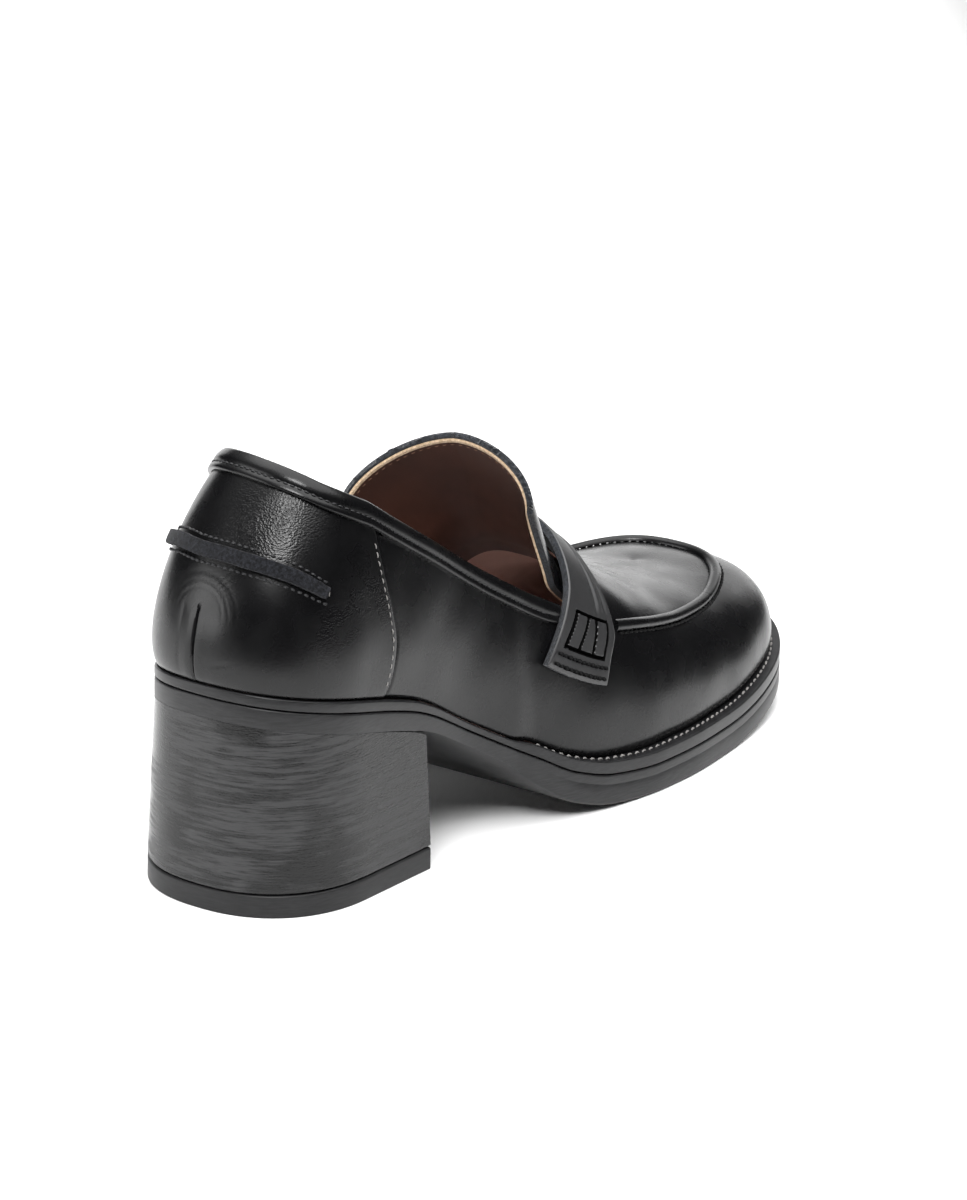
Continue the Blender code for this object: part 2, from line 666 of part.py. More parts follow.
def build_binding(material):
    """Folded band over the topline, from the saddle strap round the back and along the other side."""
    shares = stations()
    shares = shares[station_x(shares) < BINDING_END]
    shares = np.append(shares, share_of(SADDLE_AT["back"](STRAP_MEETS_BAND)))
    turns = np.concatenate([-shares[::-1], shares[1:]])
    top = rise_at_height(turns, topline_height)
    step = COUNTER_LIFT * behind_seam(turns)
    past_seam = np.clip((station_x(np.abs(turns)) - SEAM_MIDDLE) / SEAM_FADE, 0, 1)
    faded = COUNTER_LIFT * (1 - past_seam)
    level = np.zeros(turns.shape)
    inner = -WALL - GAP
    rows = (
        (BINDING_WIDTH, GAP, step),
        (BINDING_WIDTH, GAP + BINDING_LIFT * BINDING_EDGE, faded),
        (BINDING_WIDTH - BINDING_CHAMFER, GAP + BINDING_LIFT, faded),
        (BINDING_ROLL, GAP + BINDING_LIFT, faded),
        (BINDING_CROWN, GAP + BINDING_LIFT * BINDING_SHOULDER, faded),
        (0.0, -WALL / 2, level),
        (BINDING_CROWN, inner - BINDING_LIFT / 2, level),
        (BINDING_ROLL, inner - BINDING_LIFT * BINDING_LINING, level),
        (BINDING_INSIDE, inner - BINDING_LIFT * BINDING_LINING, level),
        (BINDING_INSIDE, inner, level),
        (BINDING_TOP, inner, level),
        (BINDING_TOP, GAP, step),
    )
    sections = []
    for down, out, lift in rows:
        rise = top - down * rise_per_mm(turns, top)
        turn = seam_turn(turns, rise)
        turn[0] = -share_of(SADDLE_AT["back"](rise[0]) - BINDING_CLEAR)
        turn[-1] = share_of(SADDLE_AT["back"](rise[-1]) - BINDING_CLEAR)
        sections.append(skin(turn, rise, out + lift))
    return lofted("collar_binding", np.stack(sections, 1), material)


def laid_strip(turns, rises, half_width, heights, lift):
    """Sections of a strip laid along a path on the upper, from (side, height) rows of its profile."""
    path = last_point(turns, rises)
    normal = last_normal(turns, rises)
    ahead = np.gradient(path, axis=0)
    ahead -= normal * np.sum(ahead * normal, -1, keepdims=True)
    ahead /= np.linalg.norm(ahead, axis=-1, keepdims=True)
    aside = np.cross(normal, ahead)
    rows = [
        path + aside * (side * half_width)[:, None] + normal * (height + lift)[:, None]
        for side, height in heights
    ]
    return np.stack(rows, 1)


def build_heel_strap(material):
    """Raised strap round the back of the heel."""
    turns = np.linspace(-HEEL_STRAP_TURN, HEEL_STRAP_TURN, STRAP_COUNT)
    rises = rise_at_height(turns, heel_strap_height)
    half = HEEL_STRAP_AT["half"](turns)
    shoulder = HEEL_STRAP_LIFT - HEEL_STRAP_CHAMFER
    heights = (
        (-1.0, GAP + STRAP_SAG),
        (-1.0, shoulder),
        (-HEEL_STRAP_FLAT, HEEL_STRAP_LIFT),
        (HEEL_STRAP_FLAT, HEEL_STRAP_LIFT),
        (1.0, shoulder),
        (1.0, GAP + STRAP_SAG),
    )
    lift = COUNTER_LIFT * np.ones(turns.shape)
    return lofted("heel_strap", laid_strip(turns, rises, half, heights, lift), material)


def build_apron_seam(material):
    """Raised seam round the apron, from one side of the saddle strap to the other."""
    back = share_of(SEAM_START)
    flank = np.linspace(back, TOE_SHARE, SEAM_SIDE_COUNT)
    side = np.concatenate([flank, np.linspace(TOE_SHARE, 1, SEAM_TOE_COUNT)[1:]])
    turns = np.concatenate([side, 2 - side[::-1][1:]])
    x = station_x(side)
    rises = np.concatenate([APRON_AT["medial"](x), APRON_AT["lateral"](x)[::-1][1:]])
    half = np.full(turns.shape, SEAM_HALF_WIDTH)
    half_profile = [(share, max(GAP + STRAP_SAG, SEAM_HEIGHT * height)) for share, height in SEAM_PROFILE]
    heights = [(-share, height) for share, height in half_profile] + half_profile[-2::-1]
    lift = np.zeros(turns.shape)
    return lofted("apron_seam", laid_strip(turns, rises, half, heights, lift), material)


def build_saddle(material):
    """Strap over the instep, wide at both ends and narrower on top."""
    rises = STRAP_LOW + (1 - STRAP_LOW) * np.sin(np.linspace(0, math.pi / 2, SADDLE_ROUND_COUNT))
    rise_round = np.concatenate([rises, rises[::-1][1:]])
    side = np.concatenate([-np.ones(SADDLE_ROUND_COUNT), np.ones(SADDLE_ROUND_COUNT - 1)])
    across = np.linspace(0, 1, SADDLE_ACROSS_COUNT)
    back = SADDLE_AT["back"](rise_round)
    front = SADDLE_AT["front"](rise_round)
    x = back[:, None] + (front - back)[:, None] * across[None, :]
    turn = side[:, None] * share_of(x)
    rise = np.broadcast_to(rise_round[:, None], x.shape)
    under = skin(turn, rise, np.full(x.shape, GAP + STRAP_SAG))
    over = skin(turn, rise, np.full(x.shape, GAP + STRAP_SAG + SADDLE_THICK))
    return walled("saddle_strap", over, under, material)


def build_tongue(material):
    """Plate that rises out of the throat behind the saddle strap, curved round the instep."""
    across = np.linspace(-1, 1, TONGUE_COUNT)
    side = np.where(across < 0, -1.0, 1.0)
    rise = 1 - np.abs(across) * (1 - TONGUE_SIDE_RISE)
    start = throat_x(rise, side)
    inside = [
        skin(side * share_of(start + ahead), rise, np.full(rise.shape, -WALL - TONGUE_UNDER))
        for ahead in TONGUE_FOOT
    ]
    behind_strap = np.minimum(start, SADDLE_AT["back"](rise)) - TONGUE_CLEAR
    inside.append(skin(side * share_of(behind_strap), rise, np.full(rise.shape, -TONGUE_CLEAR)))
    arch = np.cos(across * math.pi / 2) ** (2 / TONGUE_SQUARE)
    spread = np.sign(across) * np.abs(np.sin(across * math.pi / 2)) ** (2 / TONGUE_SQUARE)
    top = np.stack(
        [
            TONGUE_EDGE_X + (TONGUE_TOP_X - TONGUE_EDGE_X) * arch + TONGUE_YAW * spread,
            TONGUE_HALF * spread + TONGUE_MIDDLE_Y,
            TONGUE_EDGE_Z + (TONGUE_TOP_Z - TONGUE_EDGE_Z) * arch - TONGUE_TILT * spread,
        ],
        -1,
    )
    plate = [inside[-1] + (top - inside[-1]) * share for share in np.linspace(0, 1, TONGUE_ROW_COUNT)[1:]]
    outer = np.stack(inside + plate, 1)
    inner = outer - grid_normals(outer) * TONGUE_THICK
    return walled("tongue", outer, inner, material)


def surface(name, color, roughness):
    """A plain material."""
    material = bpy.data.materials.new(name)
    material.use_nodes = True
    shader = material.node_tree.nodes["Principled BSDF"]
    shader.inputs["Base Color"].default_value = (*color, 1.0)
    shader.inputs["Roughness"].default_value = roughness
    shader.inputs["Metallic"].default_value = 0.0
    material.diffuse_color = (*color, 1.0)
    return material


def centre_pieces(pieces):
    """Move the pieces so that the floor's origin is under the middle of their common box."""
    corners = np.array([v.co for piece in pieces for v in piece.data.vertices])
    low, high = corners.min(0), corners.max(0)
    offset = np.array([(low[0] + high[0]) / 2, (low[1] + high[1]) / 2, 0.0])
    for piece in pieces:
        for vertex in piece.data.vertices:
            vertex.co = [float(c) for c in np.array(vertex.co) - offset]


def build():
    """Clear the scene and build the shoe."""
    for existing in list(bpy.data.objects):
        bpy.data.objects.remove(existing, do_unlink=True)
    black = surface("black_leather", (0.012, 0.012, 0.013), 0.32)
    lining = surface("brown_lining_leather", (0.12, 0.045, 0.03), 0.55)
    welt = surface("black_welt", (0.022, 0.022, 0.024), 0.5)
    sole = surface("black_sole_leather", (0.035, 0.035, 0.037), 0.5)
    stack = surface("stacked_heel_leather", (0.045, 0.045, 0.047), 0.45)
    rubber = surface("black_rubber", (0.03, 0.03, 0.032), 0.6)
    pieces = [
        build_outsole(sole),
        build_welt(welt),
        build_heel(stack),
        build_tap(rubber),
        build_insole(lining),
        build_upper(black),
        build_tongue(black),
        build_saddle(black),
        build_binding(black),
        build_heel_strap(black),
        build_apron_seam(black),
    ]
    centre_pieces(pieces)


build()
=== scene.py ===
"""Looks of the right loafer pump: polished black leather, raw suede edges and a burnished stacked heel.

The tables and functions are those of the CAD source, in millimetres from the back of the heel seat.
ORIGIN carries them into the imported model's frame, in metres round the middle of the shoe's box.
"""

import math

import bmesh
import bpy
import numpy as np
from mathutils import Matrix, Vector


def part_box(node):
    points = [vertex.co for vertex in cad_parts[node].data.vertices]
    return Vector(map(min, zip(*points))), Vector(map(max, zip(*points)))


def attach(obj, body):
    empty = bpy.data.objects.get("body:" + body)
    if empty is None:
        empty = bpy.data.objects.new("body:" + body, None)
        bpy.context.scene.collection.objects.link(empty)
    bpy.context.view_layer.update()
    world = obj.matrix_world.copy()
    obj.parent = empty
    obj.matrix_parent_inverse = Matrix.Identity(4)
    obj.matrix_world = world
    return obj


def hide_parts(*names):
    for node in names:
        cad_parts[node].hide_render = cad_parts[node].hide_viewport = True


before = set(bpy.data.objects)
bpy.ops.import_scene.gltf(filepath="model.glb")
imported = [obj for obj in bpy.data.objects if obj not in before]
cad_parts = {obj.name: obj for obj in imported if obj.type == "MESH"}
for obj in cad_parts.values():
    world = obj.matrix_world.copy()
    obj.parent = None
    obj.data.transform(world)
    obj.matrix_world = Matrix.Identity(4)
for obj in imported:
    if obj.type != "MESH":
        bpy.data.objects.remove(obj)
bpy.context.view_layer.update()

MM = 0.001

# Driving sizes, in millimetres.
LENGTH = 246.0  # back of the heel tap to the tip of the welt
BACK = 1.8  # the heel seat stands in from the back of the tap
HEEL_ROUND = 31.0  # length of the rounded back of the sole's outline
HEEL_SQUARE = 2.32  # 2 is a round back, more is squarer
TOE_ROUND = 46.0
TOE_SQUARE = 2.4
BREAST = 59.5  # where the heel's front face meets the sole
GAP = 0.3  # between pieces that touch
WALL = 1.8  # upper leather with its lining
COUNTER_LIFT = 0.6  # thickness of the heel quarter laid over the upper
BINDING_LIFT = 1.0  # thickness of the folded topline band
BINDING_WIDTH = 6.6
SEAM_HEIGHT = 1.6  # the raised seam round the apron
SEAM_HALF_WIDTH = 1.7
TAP_HEIGHT = 6.2
TAP_ROUND = 0.7  # chamfers at the groove between heel and tap, and under the tap
HEEL_FLARE = 1.7  # how far the heel's foot stands out beyond the sole's outline
HEEL_FLARE_CURVE = 1.0
HEEL_SLANT = 0.4  # how far the heel's front face runs forward towards the floor
EDGE_ROUND = 0.5  # chamfers along the sole's edges
CORNER_DROP = 0.1  # the rounded lower corner of the sole's edge hangs a little fuller
WELT_BEVEL = 0.9
INSOLE_HEIGHT = 3.0  # footbed over the welt
INSOLE_CLEAR = 0.7  # between footbed and upper
INSOLE_DISH = 0.6
INSOLE_DISH_IN = 9.0  # the dish begins this far inside the footbed's edge
INSOLE_FOOT = 0.2  # chamfers along the footbed's lower and upper edge
INSOLE_BROW = 0.5
INSOLE_BACK = 3.0  # the footbed ends this far inside the outline's back and tip
INSOLE_TIP = 7.0
BINDING_TOP = 1.4  # how far the topline band stands over the upper's cut edge
BINDING_INSIDE = 5.0  # length of the band's inner leg
BINDING_SHOULDER = 0.4  # how far out the outer shoulder stands, as a share of the band's thickness
BINDING_LINING = 0.8  # thickness of the inner leg, as a share of the outer leg's
BINDING_CLEAR = 0.8  # between the band's ends and the saddle strap
STRAP_MEETS_BAND = 0.36  # rise at which they meet
BINDING_END = 109.0  # last station of the band before it meets the saddle strap
HEEL_STRAP_TURN = 0.118  # the heel strap ends this far round on both sides
HEEL_STRAP_LIFT = 2.2
STRAP_SAG = 0.15  # extra gap under straps, for the curve between their sections
SEAM_START = 138.0  # where the apron's seam comes out from the saddle strap
SADDLE_THICK = 2.2
STRAP_LOW = 0.20  # rise of the saddle strap's ends
TONGUE_THICK = 2.4
TONGUE_UNDER = 0.95  # between the upper's lining and the tongue's foot
TONGUE_SIDE_RISE = 0.46
TONGUE_SQUARE = 1.7
TONGUE_CLEAR = 1.0  # under the saddle strap's back edge
TONGUE_HALF = 27.5
TONGUE_TILT = 2.2  # its lateral side stands higher by this, the medial side lower
TONGUE_MIDDLE_Y = -0.5
TONGUE_EDGE_X = 102.0  # back edge of the tongue at its sides, and at its middle
TONGUE_TOP_X = 110.4
TONGUE_EDGE_Z = 83.4
TONGUE_TOP_Z = 102.5
TONGUE_YAW = -6.0  # the tongue's lateral side stands forward by this much, the medial side back
TONGUE_FOOT = (10.0, 5.0, 1.0)  # how far in front of the throat's edge the rows of its foot lie
COLLAR_TILT = 0.11  # round the back the topline rises by this much for each millimetre to the medial side
COLLAR_TILT_START = 30.0  # x up to which it does so, and x at which it is level again
COLLAR_TILT_END = 42.0
FEATHER_FLAT = 0.08  # below this rise offsets turn level, so that the wall stands flat on the welt
JOIN = 0.02  # points closer than this are one point
LOFT_JOIN = 0.004
SEAM_MIDDLE = 42.5  # x round which the edge of the heel quarter runs
SEAM_FADE = 14.0  # length over which the topline band levels out in front of the quarter seam

# How finely the surface is worked out.
ROW_SPREAD = 0.92  # below 1 sets the upper's rows closer towards the topline
BISECTIONS = 24
RISE_STEP = 0.01  # small steps of rise and turn over which slopes are taken
TURN_STEP = 0.004
NORMAL_STEP = 0.012
END_CLEAR = 0.03  # on top, directions are taken at least this far round from the toe tip and the back
RIDGE_ZONE = 0.9  # rise above which that holds
NEAR_RIDGE = 0.98
AT_RIDGE = 0.999  # from this rise on the topline has closed over the ridge

# Sole seen from above: centre line, half width, and the welt's margin outside the upper.
PLAN_COLUMNS = ("x", "centre", "half", "margin")
PLAN = (
    (2.0, 0.0, 29.4, 2.0),
    (31.0, 0.0, 29.6, 2.0),
    (60.0, -1.2, 28.4, 1.7),
    (80.0, -3.2, 26.6, 1.4),
    (96.0, -5.2, 27.8, 1.4),
    (103.0, -6.0, 30.2, 3.6),
    (115.0, -6.6, 34.2, 4.2),
    (132.0, -5.6, 39.0, 4.2),
    (150.0, -4.0, 42.6, 4.2),
    (168.0, -2.2, 44.0, 4.2),
    (190.0, -0.2, 43.2, 4.2),
    (215.0, 2.0, 40.6, 4.2),
    (246.0, 4.0, 38.0, 4.2),
)

# Sole seen from the side: the joint line between welt and outsole, the welt's thickness above it, the
# outsole's upright edge and full thickness below it, and how far the bevel under that edge runs in.
SIDE_COLUMNS = ("x", "joint_z", "welt", "edge", "depth", "bevel")
SIDE = (
    (2.0, 57.8, 3.2, 5.6, 5.6, 0.4),
    (30.0, 51.8, 3.2, 5.6, 5.6, 0.4),
    (54.0, 45.4, 3.0, 5.2, 5.6, 0.4),
    (62.0, 42.2, 2.8, 4.6, 6.0, 4.0),
    (80.0, 32.4, 2.3, 4.4, 7.8, 9.0),
    (94.0, 24.6, 2.4, 5.2, 8.0, 8.0),
    (103.0, 19.6, 3.7, 7.6, 9.0, 3.0),
    (114.0, 13.6, 3.9, 8.4, 9.0, 0.8),
    (128.0, 9.8, 3.9, 8.2, 8.8, 0.8),
    (146.0, 8.4, 3.9, 7.6, 8.4, 0.8),
    (182.0, 8.4, 3.9, 7.6, 8.4, 0.8),
    (214.0, 11.4, 3.9, 7.2, 8.0, 0.8),
    (246.0, 17.6, 3.9, 6.6, 7.4, 0.8),
)

# Shape of the last's arch over each point of the feather line.
ARCH_COLUMNS = ("x", "square", "bulge")
ARCH = (
    (0.0, 1.68, 3.6),
    (20.0, 1.74, 2.8),
    (45.0, 1.9, 2.2),
    (80.0, 2.0, 1.6),
    (115.0, 1.95, 1.4),
    (135.0, 2.05, 1.5),
    (152.0, 2.35, 1.6),
    (190.0, 2.6, 1.8),
    (246.0, 2.7, 1.6),
)

# Ridge of the last, where both sides of the arch meet. Behind the throat it runs on as a guide only.
RIDGE_COLUMNS = ("x", "y", "z")
RIDGE = (
    (57.0, 0.0, 134.0),
    (85.0, 0.0, 116.0),
    (110.0, 0.6, 96.0),
    (130.0, 1.2, 77.6),
    (140.0, 1.5, 68.4),
    (150.0, 1.8, 60.6),
    (160.0, 2.0, 54.8),
    (172.0, 2.2, 49.6),
    (190.0, 2.6, 44.6),
    (207.0, 3.0, 40.8),
)
RIDGE_BACK = 57.0
RIDGE_FRONT = 203.0
RIDGE_SOFTNESS = 16.0
SWELL_LOW = 0.5  # below 1 puts the fullest part of the arch nearer its foot

# Topline on both sides, as heights over the floor.
TOPLINE_COLUMNS = ("x", "lateral", "medial")
TOPLINE = (
    (10.0, 127.4, 127.4),
    (20.0, 120.3, 120.3),
    (36.0, 109.0, 109.2),
    (48.0, 100.6, 101.0),
    (60.0, 93.0, 93.6),
    (68.5, 87.6, 88.4),
    (87.0, 75.6, 76.6),
    (104.0, 65.4, 66.6),
    (115.0, 59.6, 60.8),
    (124.0, 55.5, 56.8),
)
THROAT_START = 118.0  # x of the foot's outline where the topline turns in towards the ridge
THROAT_END = 136.0

# Front edge of the heel quarter, by height.
SEAM_COLUMNS = ("z", "x")
SEAM = ((50.0, 41.4), (60.0, 44.3), (67.7, 45.4), (75.0, 44.2), (85.0, 41.6), (97.0, 38.9), (110.0, 36.6))

# Height of the heel strap's middle and half its width, by turn round the heel.
HEEL_STRAP_COLUMNS = ("turn", "z", "half")
HEEL_STRAP = (
    (-0.118, 85.9, 1.5),
    (-0.100, 88.4, 1.75),
    (-0.075, 91.1, 1.95),
    (-0.035, 93.4, 2.0),
    (0.000, 94.2, 2.0),
    (0.040, 94.2, 2.0),
    (0.095, 91.8, 1.8),
    (0.118, 89.4, 1.5),
)

# Rise of the seam round the apron.
APRON_COLUMNS = ("x", "lateral", "medial")
APRON = (
    (137.0, 0.40, 0.44),
    (160.0, 0.46, 0.48),
    (190.0, 0.54, 0.55),
    (215.0, 0.63, 0.63),
    (246.0, 0.70, 0.70),
)

# Back and front edge of the saddle strap, by rise.
SADDLE_COLUMNS = ("rise", "back", "front")
SADDLE = (
    (0.20, 105.4, 126.0),
    (0.27, 109.6, 129.2),
    (0.37, 115.6, 134.2),
    (0.47, 120.8, 135.4),
    (0.62, 125.8, 136.4),
    (0.78, 130.4, 139.6),
    (1.00, 132.5, 143.5),
)


def smooth_curve(xs, ys):
    """A monotone cubic through the points, as a function of numbers or arrays."""
    xs, ys = np.array(xs, float), np.array(ys, float)
    step = np.diff(xs)
    chord = np.diff(ys) / step
    slope = np.concatenate([chord[:1], np.zeros(len(xs) - 2), chord[-1:]])
    before, after = chord[:-1], chord[1:]
    same = before * after > 0
    slope[1:-1][same] = 2 * before[same] * after[same] / (before[same] + after[same])

    def at(x):
        x = np.clip(x, xs[0], xs[-1])
        i = np.clip(np.searchsorted(xs, x) - 1, 0, len(step) - 1)
        t = (x - xs[i]) / step[i]
        rise = (3 - 2 * t) * t * t
        lean = step[i] * t * (1 - t) * (slope[i] * (1 - t) - slope[i + 1] * t)
        return ys[i] + (ys[i + 1] - ys[i]) * rise + lean

    return at


def curves(columns, rows):
    """A smooth curve over the first column of a table for each of its other columns."""
    by_column = dict(zip(columns, zip(*rows)))
    xs = by_column.pop(columns[0])
    return {name: smooth_curve(xs, values) for name, values in by_column.items()}


PLAN_AT = curves(PLAN_COLUMNS, PLAN)
SIDE_AT = curves(SIDE_COLUMNS, SIDE)
ARCH_AT = curves(ARCH_COLUMNS, ARCH)
RIDGE_AT = curves(RIDGE_COLUMNS, RIDGE)
TOPLINE_AT = curves(TOPLINE_COLUMNS, TOPLINE)
SEAM_AT = curves(SEAM_COLUMNS, SEAM)
APRON_AT = curves(APRON_COLUMNS, APRON)
HEEL_STRAP_AT = curves(HEEL_STRAP_COLUMNS, HEEL_STRAP)
SADDLE_AT = curves(SADDLE_COLUMNS, SADDLE)

# Sizes of the looks, in millimetres.
UPPER_ROWS = 80
COUNTER_COLUMNS = 261
COUNTER_ROWS = 110
CUT_ROUNDING = 0.35  # how far the leather's cut edges are rounded down
SOLE_COUNTS = (41, 121, 41)  # stations round the heel, along the side and round the toe
INSOLE_COUNTS = (25, 81, 31)
LAYER_LINE = 2.7  # faint line in the outsole's edge, under the joint
LINE_DEPTH = 0.16
LINE_START = 104.0  # x from which it shows, and x at which it has its full depth
LINE_FULL = 118.0
FACE_CLEAR = 0.02  # between the heel's top and the outsole
DARK_REFLECTION_Y = (11.0, 15.0)  # y and z over which the heel's painted dark reflection, a glossy black edge, comes in
DARK_REFLECTION_Z = (33.0, 37.0)
QUARTER_LINE = (0.45, 0.6, 0.5)  # groove in front of the quarter seam: how far ahead, width and depth
STITCH_DOWN = 4.5  # the band's stitches lie this far under its fold
DART_Y = 2.2  # the dart up the back of the counter
DART_TOP = 81.7
DART_DEPTH = 0.75
DART_WIDTH = 0.27
DART_SWELLS = ((2.0, 1.5, 0.16), (-1.6, 1.6, 0.08))  # ridges beside it: how far off, width and height
ARCH_CENTRE = 79.0  # height round which the creases over the dart run
ARCH_CREASES = ((7.4, 0.35, 0.05), (9.2, 0.35, 0.04), (11.4, 0.5, 0.03), (8.3, 2.4, -0.04))
# Pebbled patches: y and its spread, z and its spread, share of the full grain.
GRAIN = ((-9.0, 11.0, 103.0, 9.0, 1.0), (-27.0, 3.0, 82.0, 8.0, 0.5))
STROKE_DEPTH = 0.10
STROKE_TURNS = 46.0  # strokes in a full turn, as an angle's multiple
LOW_CREASE = 0.14
DENTS = (0.10, 0.05)
PANEL_LOW = 0.272  # rises of the sewn panels' ends on the saddle strap
PANEL_TOP = 0.385
PANEL_SOFT = 0.008
PANEL_SWELL = 0.25
PANEL_CHANNELS = ((0.14, 0.20), (0.36, 0.43), (0.62, 0.58), (0.84, 0.82))
PANEL_CHANNEL_DEPTH = 1.15
CHANNEL_EDGE = 0.06  # depth from which a channel is painted black, as painted shade
PANEL_CHANNEL_HALF = 0.38  # half width of a channel
SADDLE_CREASES = ((0.62, 0.75, 0.30), (0.84, 0.90, 0.22))
SADDLE_FINE_TOP = 0.40  # rise up to which the strap's rows are closest together
SEAM_STITCH_IN = 1.7  # rows of stitches: how far inside an edge they lie
STRIP_STITCH_OUT = 1.3
LINING_STITCH_IN = 2.1
SADDLE_STITCH_RISES = (0.245, 0.215)
WELT_STITCH_START = 102.0
# Pitch and radius of the stitches, and the share of the pitch that each covers.
COLLAR_STITCH = (2.0, 0.24, 0.72)
SEAM_STITCH = (2.3, 0.17, 0.62)
STRIP_STITCH = (1.9, 0.38, 0.8)
STRIP_END_STITCH = (3.0, 0.22, 0.72)
SADDLE_STITCH = (1.8, 0.62, 0.8)
WELT_STITCH = (2.9, 0.34, 0.6)
APRON_STITCH = (2.2, 0.45, 0.85)
LINING_STITCH = (2.4, 0.11, 0.5)
VAMP_LINING_START = 76.0
TONGUE_BLACK_SHARE = 0.7
TONGUE_ROW_SHARES = (0.2, 0.4, 0.6, 0.8, 1.0)
TONGUE_FRAY = 0.3
TONGUE_REACHES = (0.3, 0.7, 0.5, -0.2, -0.5, -1.2)  # how far its layers run past the CAD edge

# The photograph's camera: what it looked at, in the tables' frame, and where it stood.
PHOTO_TARGET = (-24.3, -1.4, 107.6)
PHOTO_AZIMUTH = -51.0
PHOTO_ELEVATION = 18.3
PHOTO_DISTANCE = 1500.0
SENSOR = 36.0
FOCAL_PER_HEIGHT = 5980.0 / 1200.0
AIM = (0.0, 0.0, 52.0)  # middle of the shoe's box

# Softboxes: name, place, aim, size in metres, power in watts.
LIGHTS = (
    ("overhead", (0.3, -0.3, 1.7), (0.3, -0.3, 0.0), (2.2, 3.0), 60.0),
    ("backdrop", (1.75, 1.45, 0.5), (0.0, 0.0, 0.1), (3.0, 1.0), 17.0),
    ("key", (-0.98, -0.54, 1.28), (0.0, 0.0, 0.08), (0.62, 0.5), 21.0),
    ("back", (-1.1, 0.75, 0.30), (0.0, 0.0, 0.05), (0.7, 0.5), 4.5),
)
# The sky over the stage is dark up to one height of the view direction and bright above another.
SKY_LOW = 0.45
SKY_HIGH = 0.8
SKY_DIM = 0.03
SKY_BRIGHT = 0.6
# The floor is white in the camera's frame, and dark beyond it on the camera's side and to its right.
FLOOR_NEAR = 0.27
FLOOR_RIGHT = 0.20
FLOOR_FADE = 0.12
FLOOR_TONES = (0.93, 0.05)

# Share of the way round at which the outline changes from heel to side and from side to toe.
HEEL_SHARE = 0.18
TOE_SHARE = 0.78


def station_x(share):
    """x of the outline at a share of the way from the centre back (0) to the toe tip (1)."""
    heel = BACK + HEEL_ROUND * (1 - np.cos(np.clip(share / HEEL_SHARE, 0, 1) * math.pi / 2))
    toe_turn = np.clip((1 - share) / (1 - TOE_SHARE), 0, 1) * math.pi / 2
    toe = LENGTH - TOE_ROUND * (1 - np.cos(toe_turn))
    along = np.clip((share - HEEL_SHARE) / (TOE_SHARE - HEEL_SHARE), 0, 1)
    side = BACK + HEEL_ROUND + (LENGTH - TOE_ROUND - HEEL_ROUND - BACK) * along
    return np.where(share < HEEL_SHARE, heel, np.where(share > TOE_SHARE, toe, side))


def share_of(x):
    """The inverse of station_x."""
    shares = np.linspace(0, 1, 2001)
    return np.interp(x, station_x(shares), shares)


def end_round(distance, reach, square):
    """Share of the full width that the outline has at a distance from its end."""
    t = np.clip(1 - distance / reach, 0, 1)
    return (1 - t**square) ** (1 / square)


def outline(turn):
    """Sole's edge from above. turn runs from -1 to 1: 0 is the centre back, below 0 the lateral side."""
    turn = (np.asarray(turn, float) + 1) % 2 - 1
    x = station_x(np.abs(turn))
    half = PLAN_AT["half"](x) * end_round(x - BACK, HEEL_ROUND, HEEL_SQUARE)
    half = half * end_round(LENGTH - x, TOE_ROUND, TOE_SQUARE)
    return np.stack([x, PLAN_AT["centre"](x) + np.sign(turn) * half], -1)


def inset_outline(turn, inset):
    """The outline moved inwards, and its outward direction."""
    tangent = outline(turn + TURN_STEP) - outline(turn - TURN_STEP)
    tangent /= np.linalg.norm(tangent, axis=-1, keepdims=True)
    outward = np.stack([-tangent[..., 1], tangent[..., 0]], -1)
    return outline(turn) - outward * np.asarray(inset)[..., None], outward


def soft_above(x, limit):
    """x where it is well above the limit, and the limit where it is well below."""
    d = x - limit
    return limit + (d + np.sqrt(d * d + RIDGE_SOFTNESS**2)) / 2


def last_point(turn, rise):
    """Outer surface of the upper. rise is 0 at the feather line and 1 on the ridge."""
    turn, rise = np.broadcast_arrays(np.asarray(turn, float), np.asarray(rise, float))
    turn = np.where(rise > 1, -turn, turn)
    rise = np.where(rise > 1, 2 - rise, rise)
    x = station_x(np.abs((turn + 1) % 2 - 1))
    foot, outward = inset_outline(turn, PLAN_AT["margin"](x))
    foot_z = SIDE_AT["joint_z"](foot[..., 0]) + SIDE_AT["welt"](foot[..., 0]) + GAP
    ridge_x = soft_above(x, RIDGE_BACK)
    ridge_x = LENGTH - soft_above(LENGTH - ridge_x, LENGTH - RIDGE_FRONT)
    square = ARCH_AT["square"](x)
    angle = np.clip(rise, 0, 1) * math.pi / 2
    inward = 1 - np.cos(angle) ** (2 / square)
    upward = np.sin(angle) ** (2 / square)
    ridge = np.stack([ridge_x, RIDGE_AT["y"](ridge_x)], -1)
    swell = ARCH_AT["bulge"](x) * np.sin(math.pi * upward**SWELL_LOW)
    plan = foot + (ridge - foot) * inward[..., None] + outward * swell[..., None]
    z = foot_z + (RIDGE_AT["z"](ridge_x) - foot_z) * upward
    return np.concatenate([plan, z[..., None]], -1)


def last_normal(turn, rise):
    """Outward direction of the upper's surface."""
    turn, rise = np.broadcast_arrays(np.asarray(turn, float), np.asarray(rise, float))
    clear = np.copysign(np.clip(np.abs(turn), END_CLEAR, 1 - END_CLEAR), turn)
    turn = np.where(rise > RIDGE_ZONE, clear, turn)
    low = np.maximum(rise - NORMAL_STEP, 0.0)
    across = last_point(turn, rise + NORMAL_STEP) - last_point(turn, low)
    along = last_point(turn + NORMAL_STEP, rise) - last_point(turn - NORMAL_STEP, rise)
    normal = np.cross(across, along)
    return normal / np.linalg.norm(normal, axis=-1, keepdims=True)


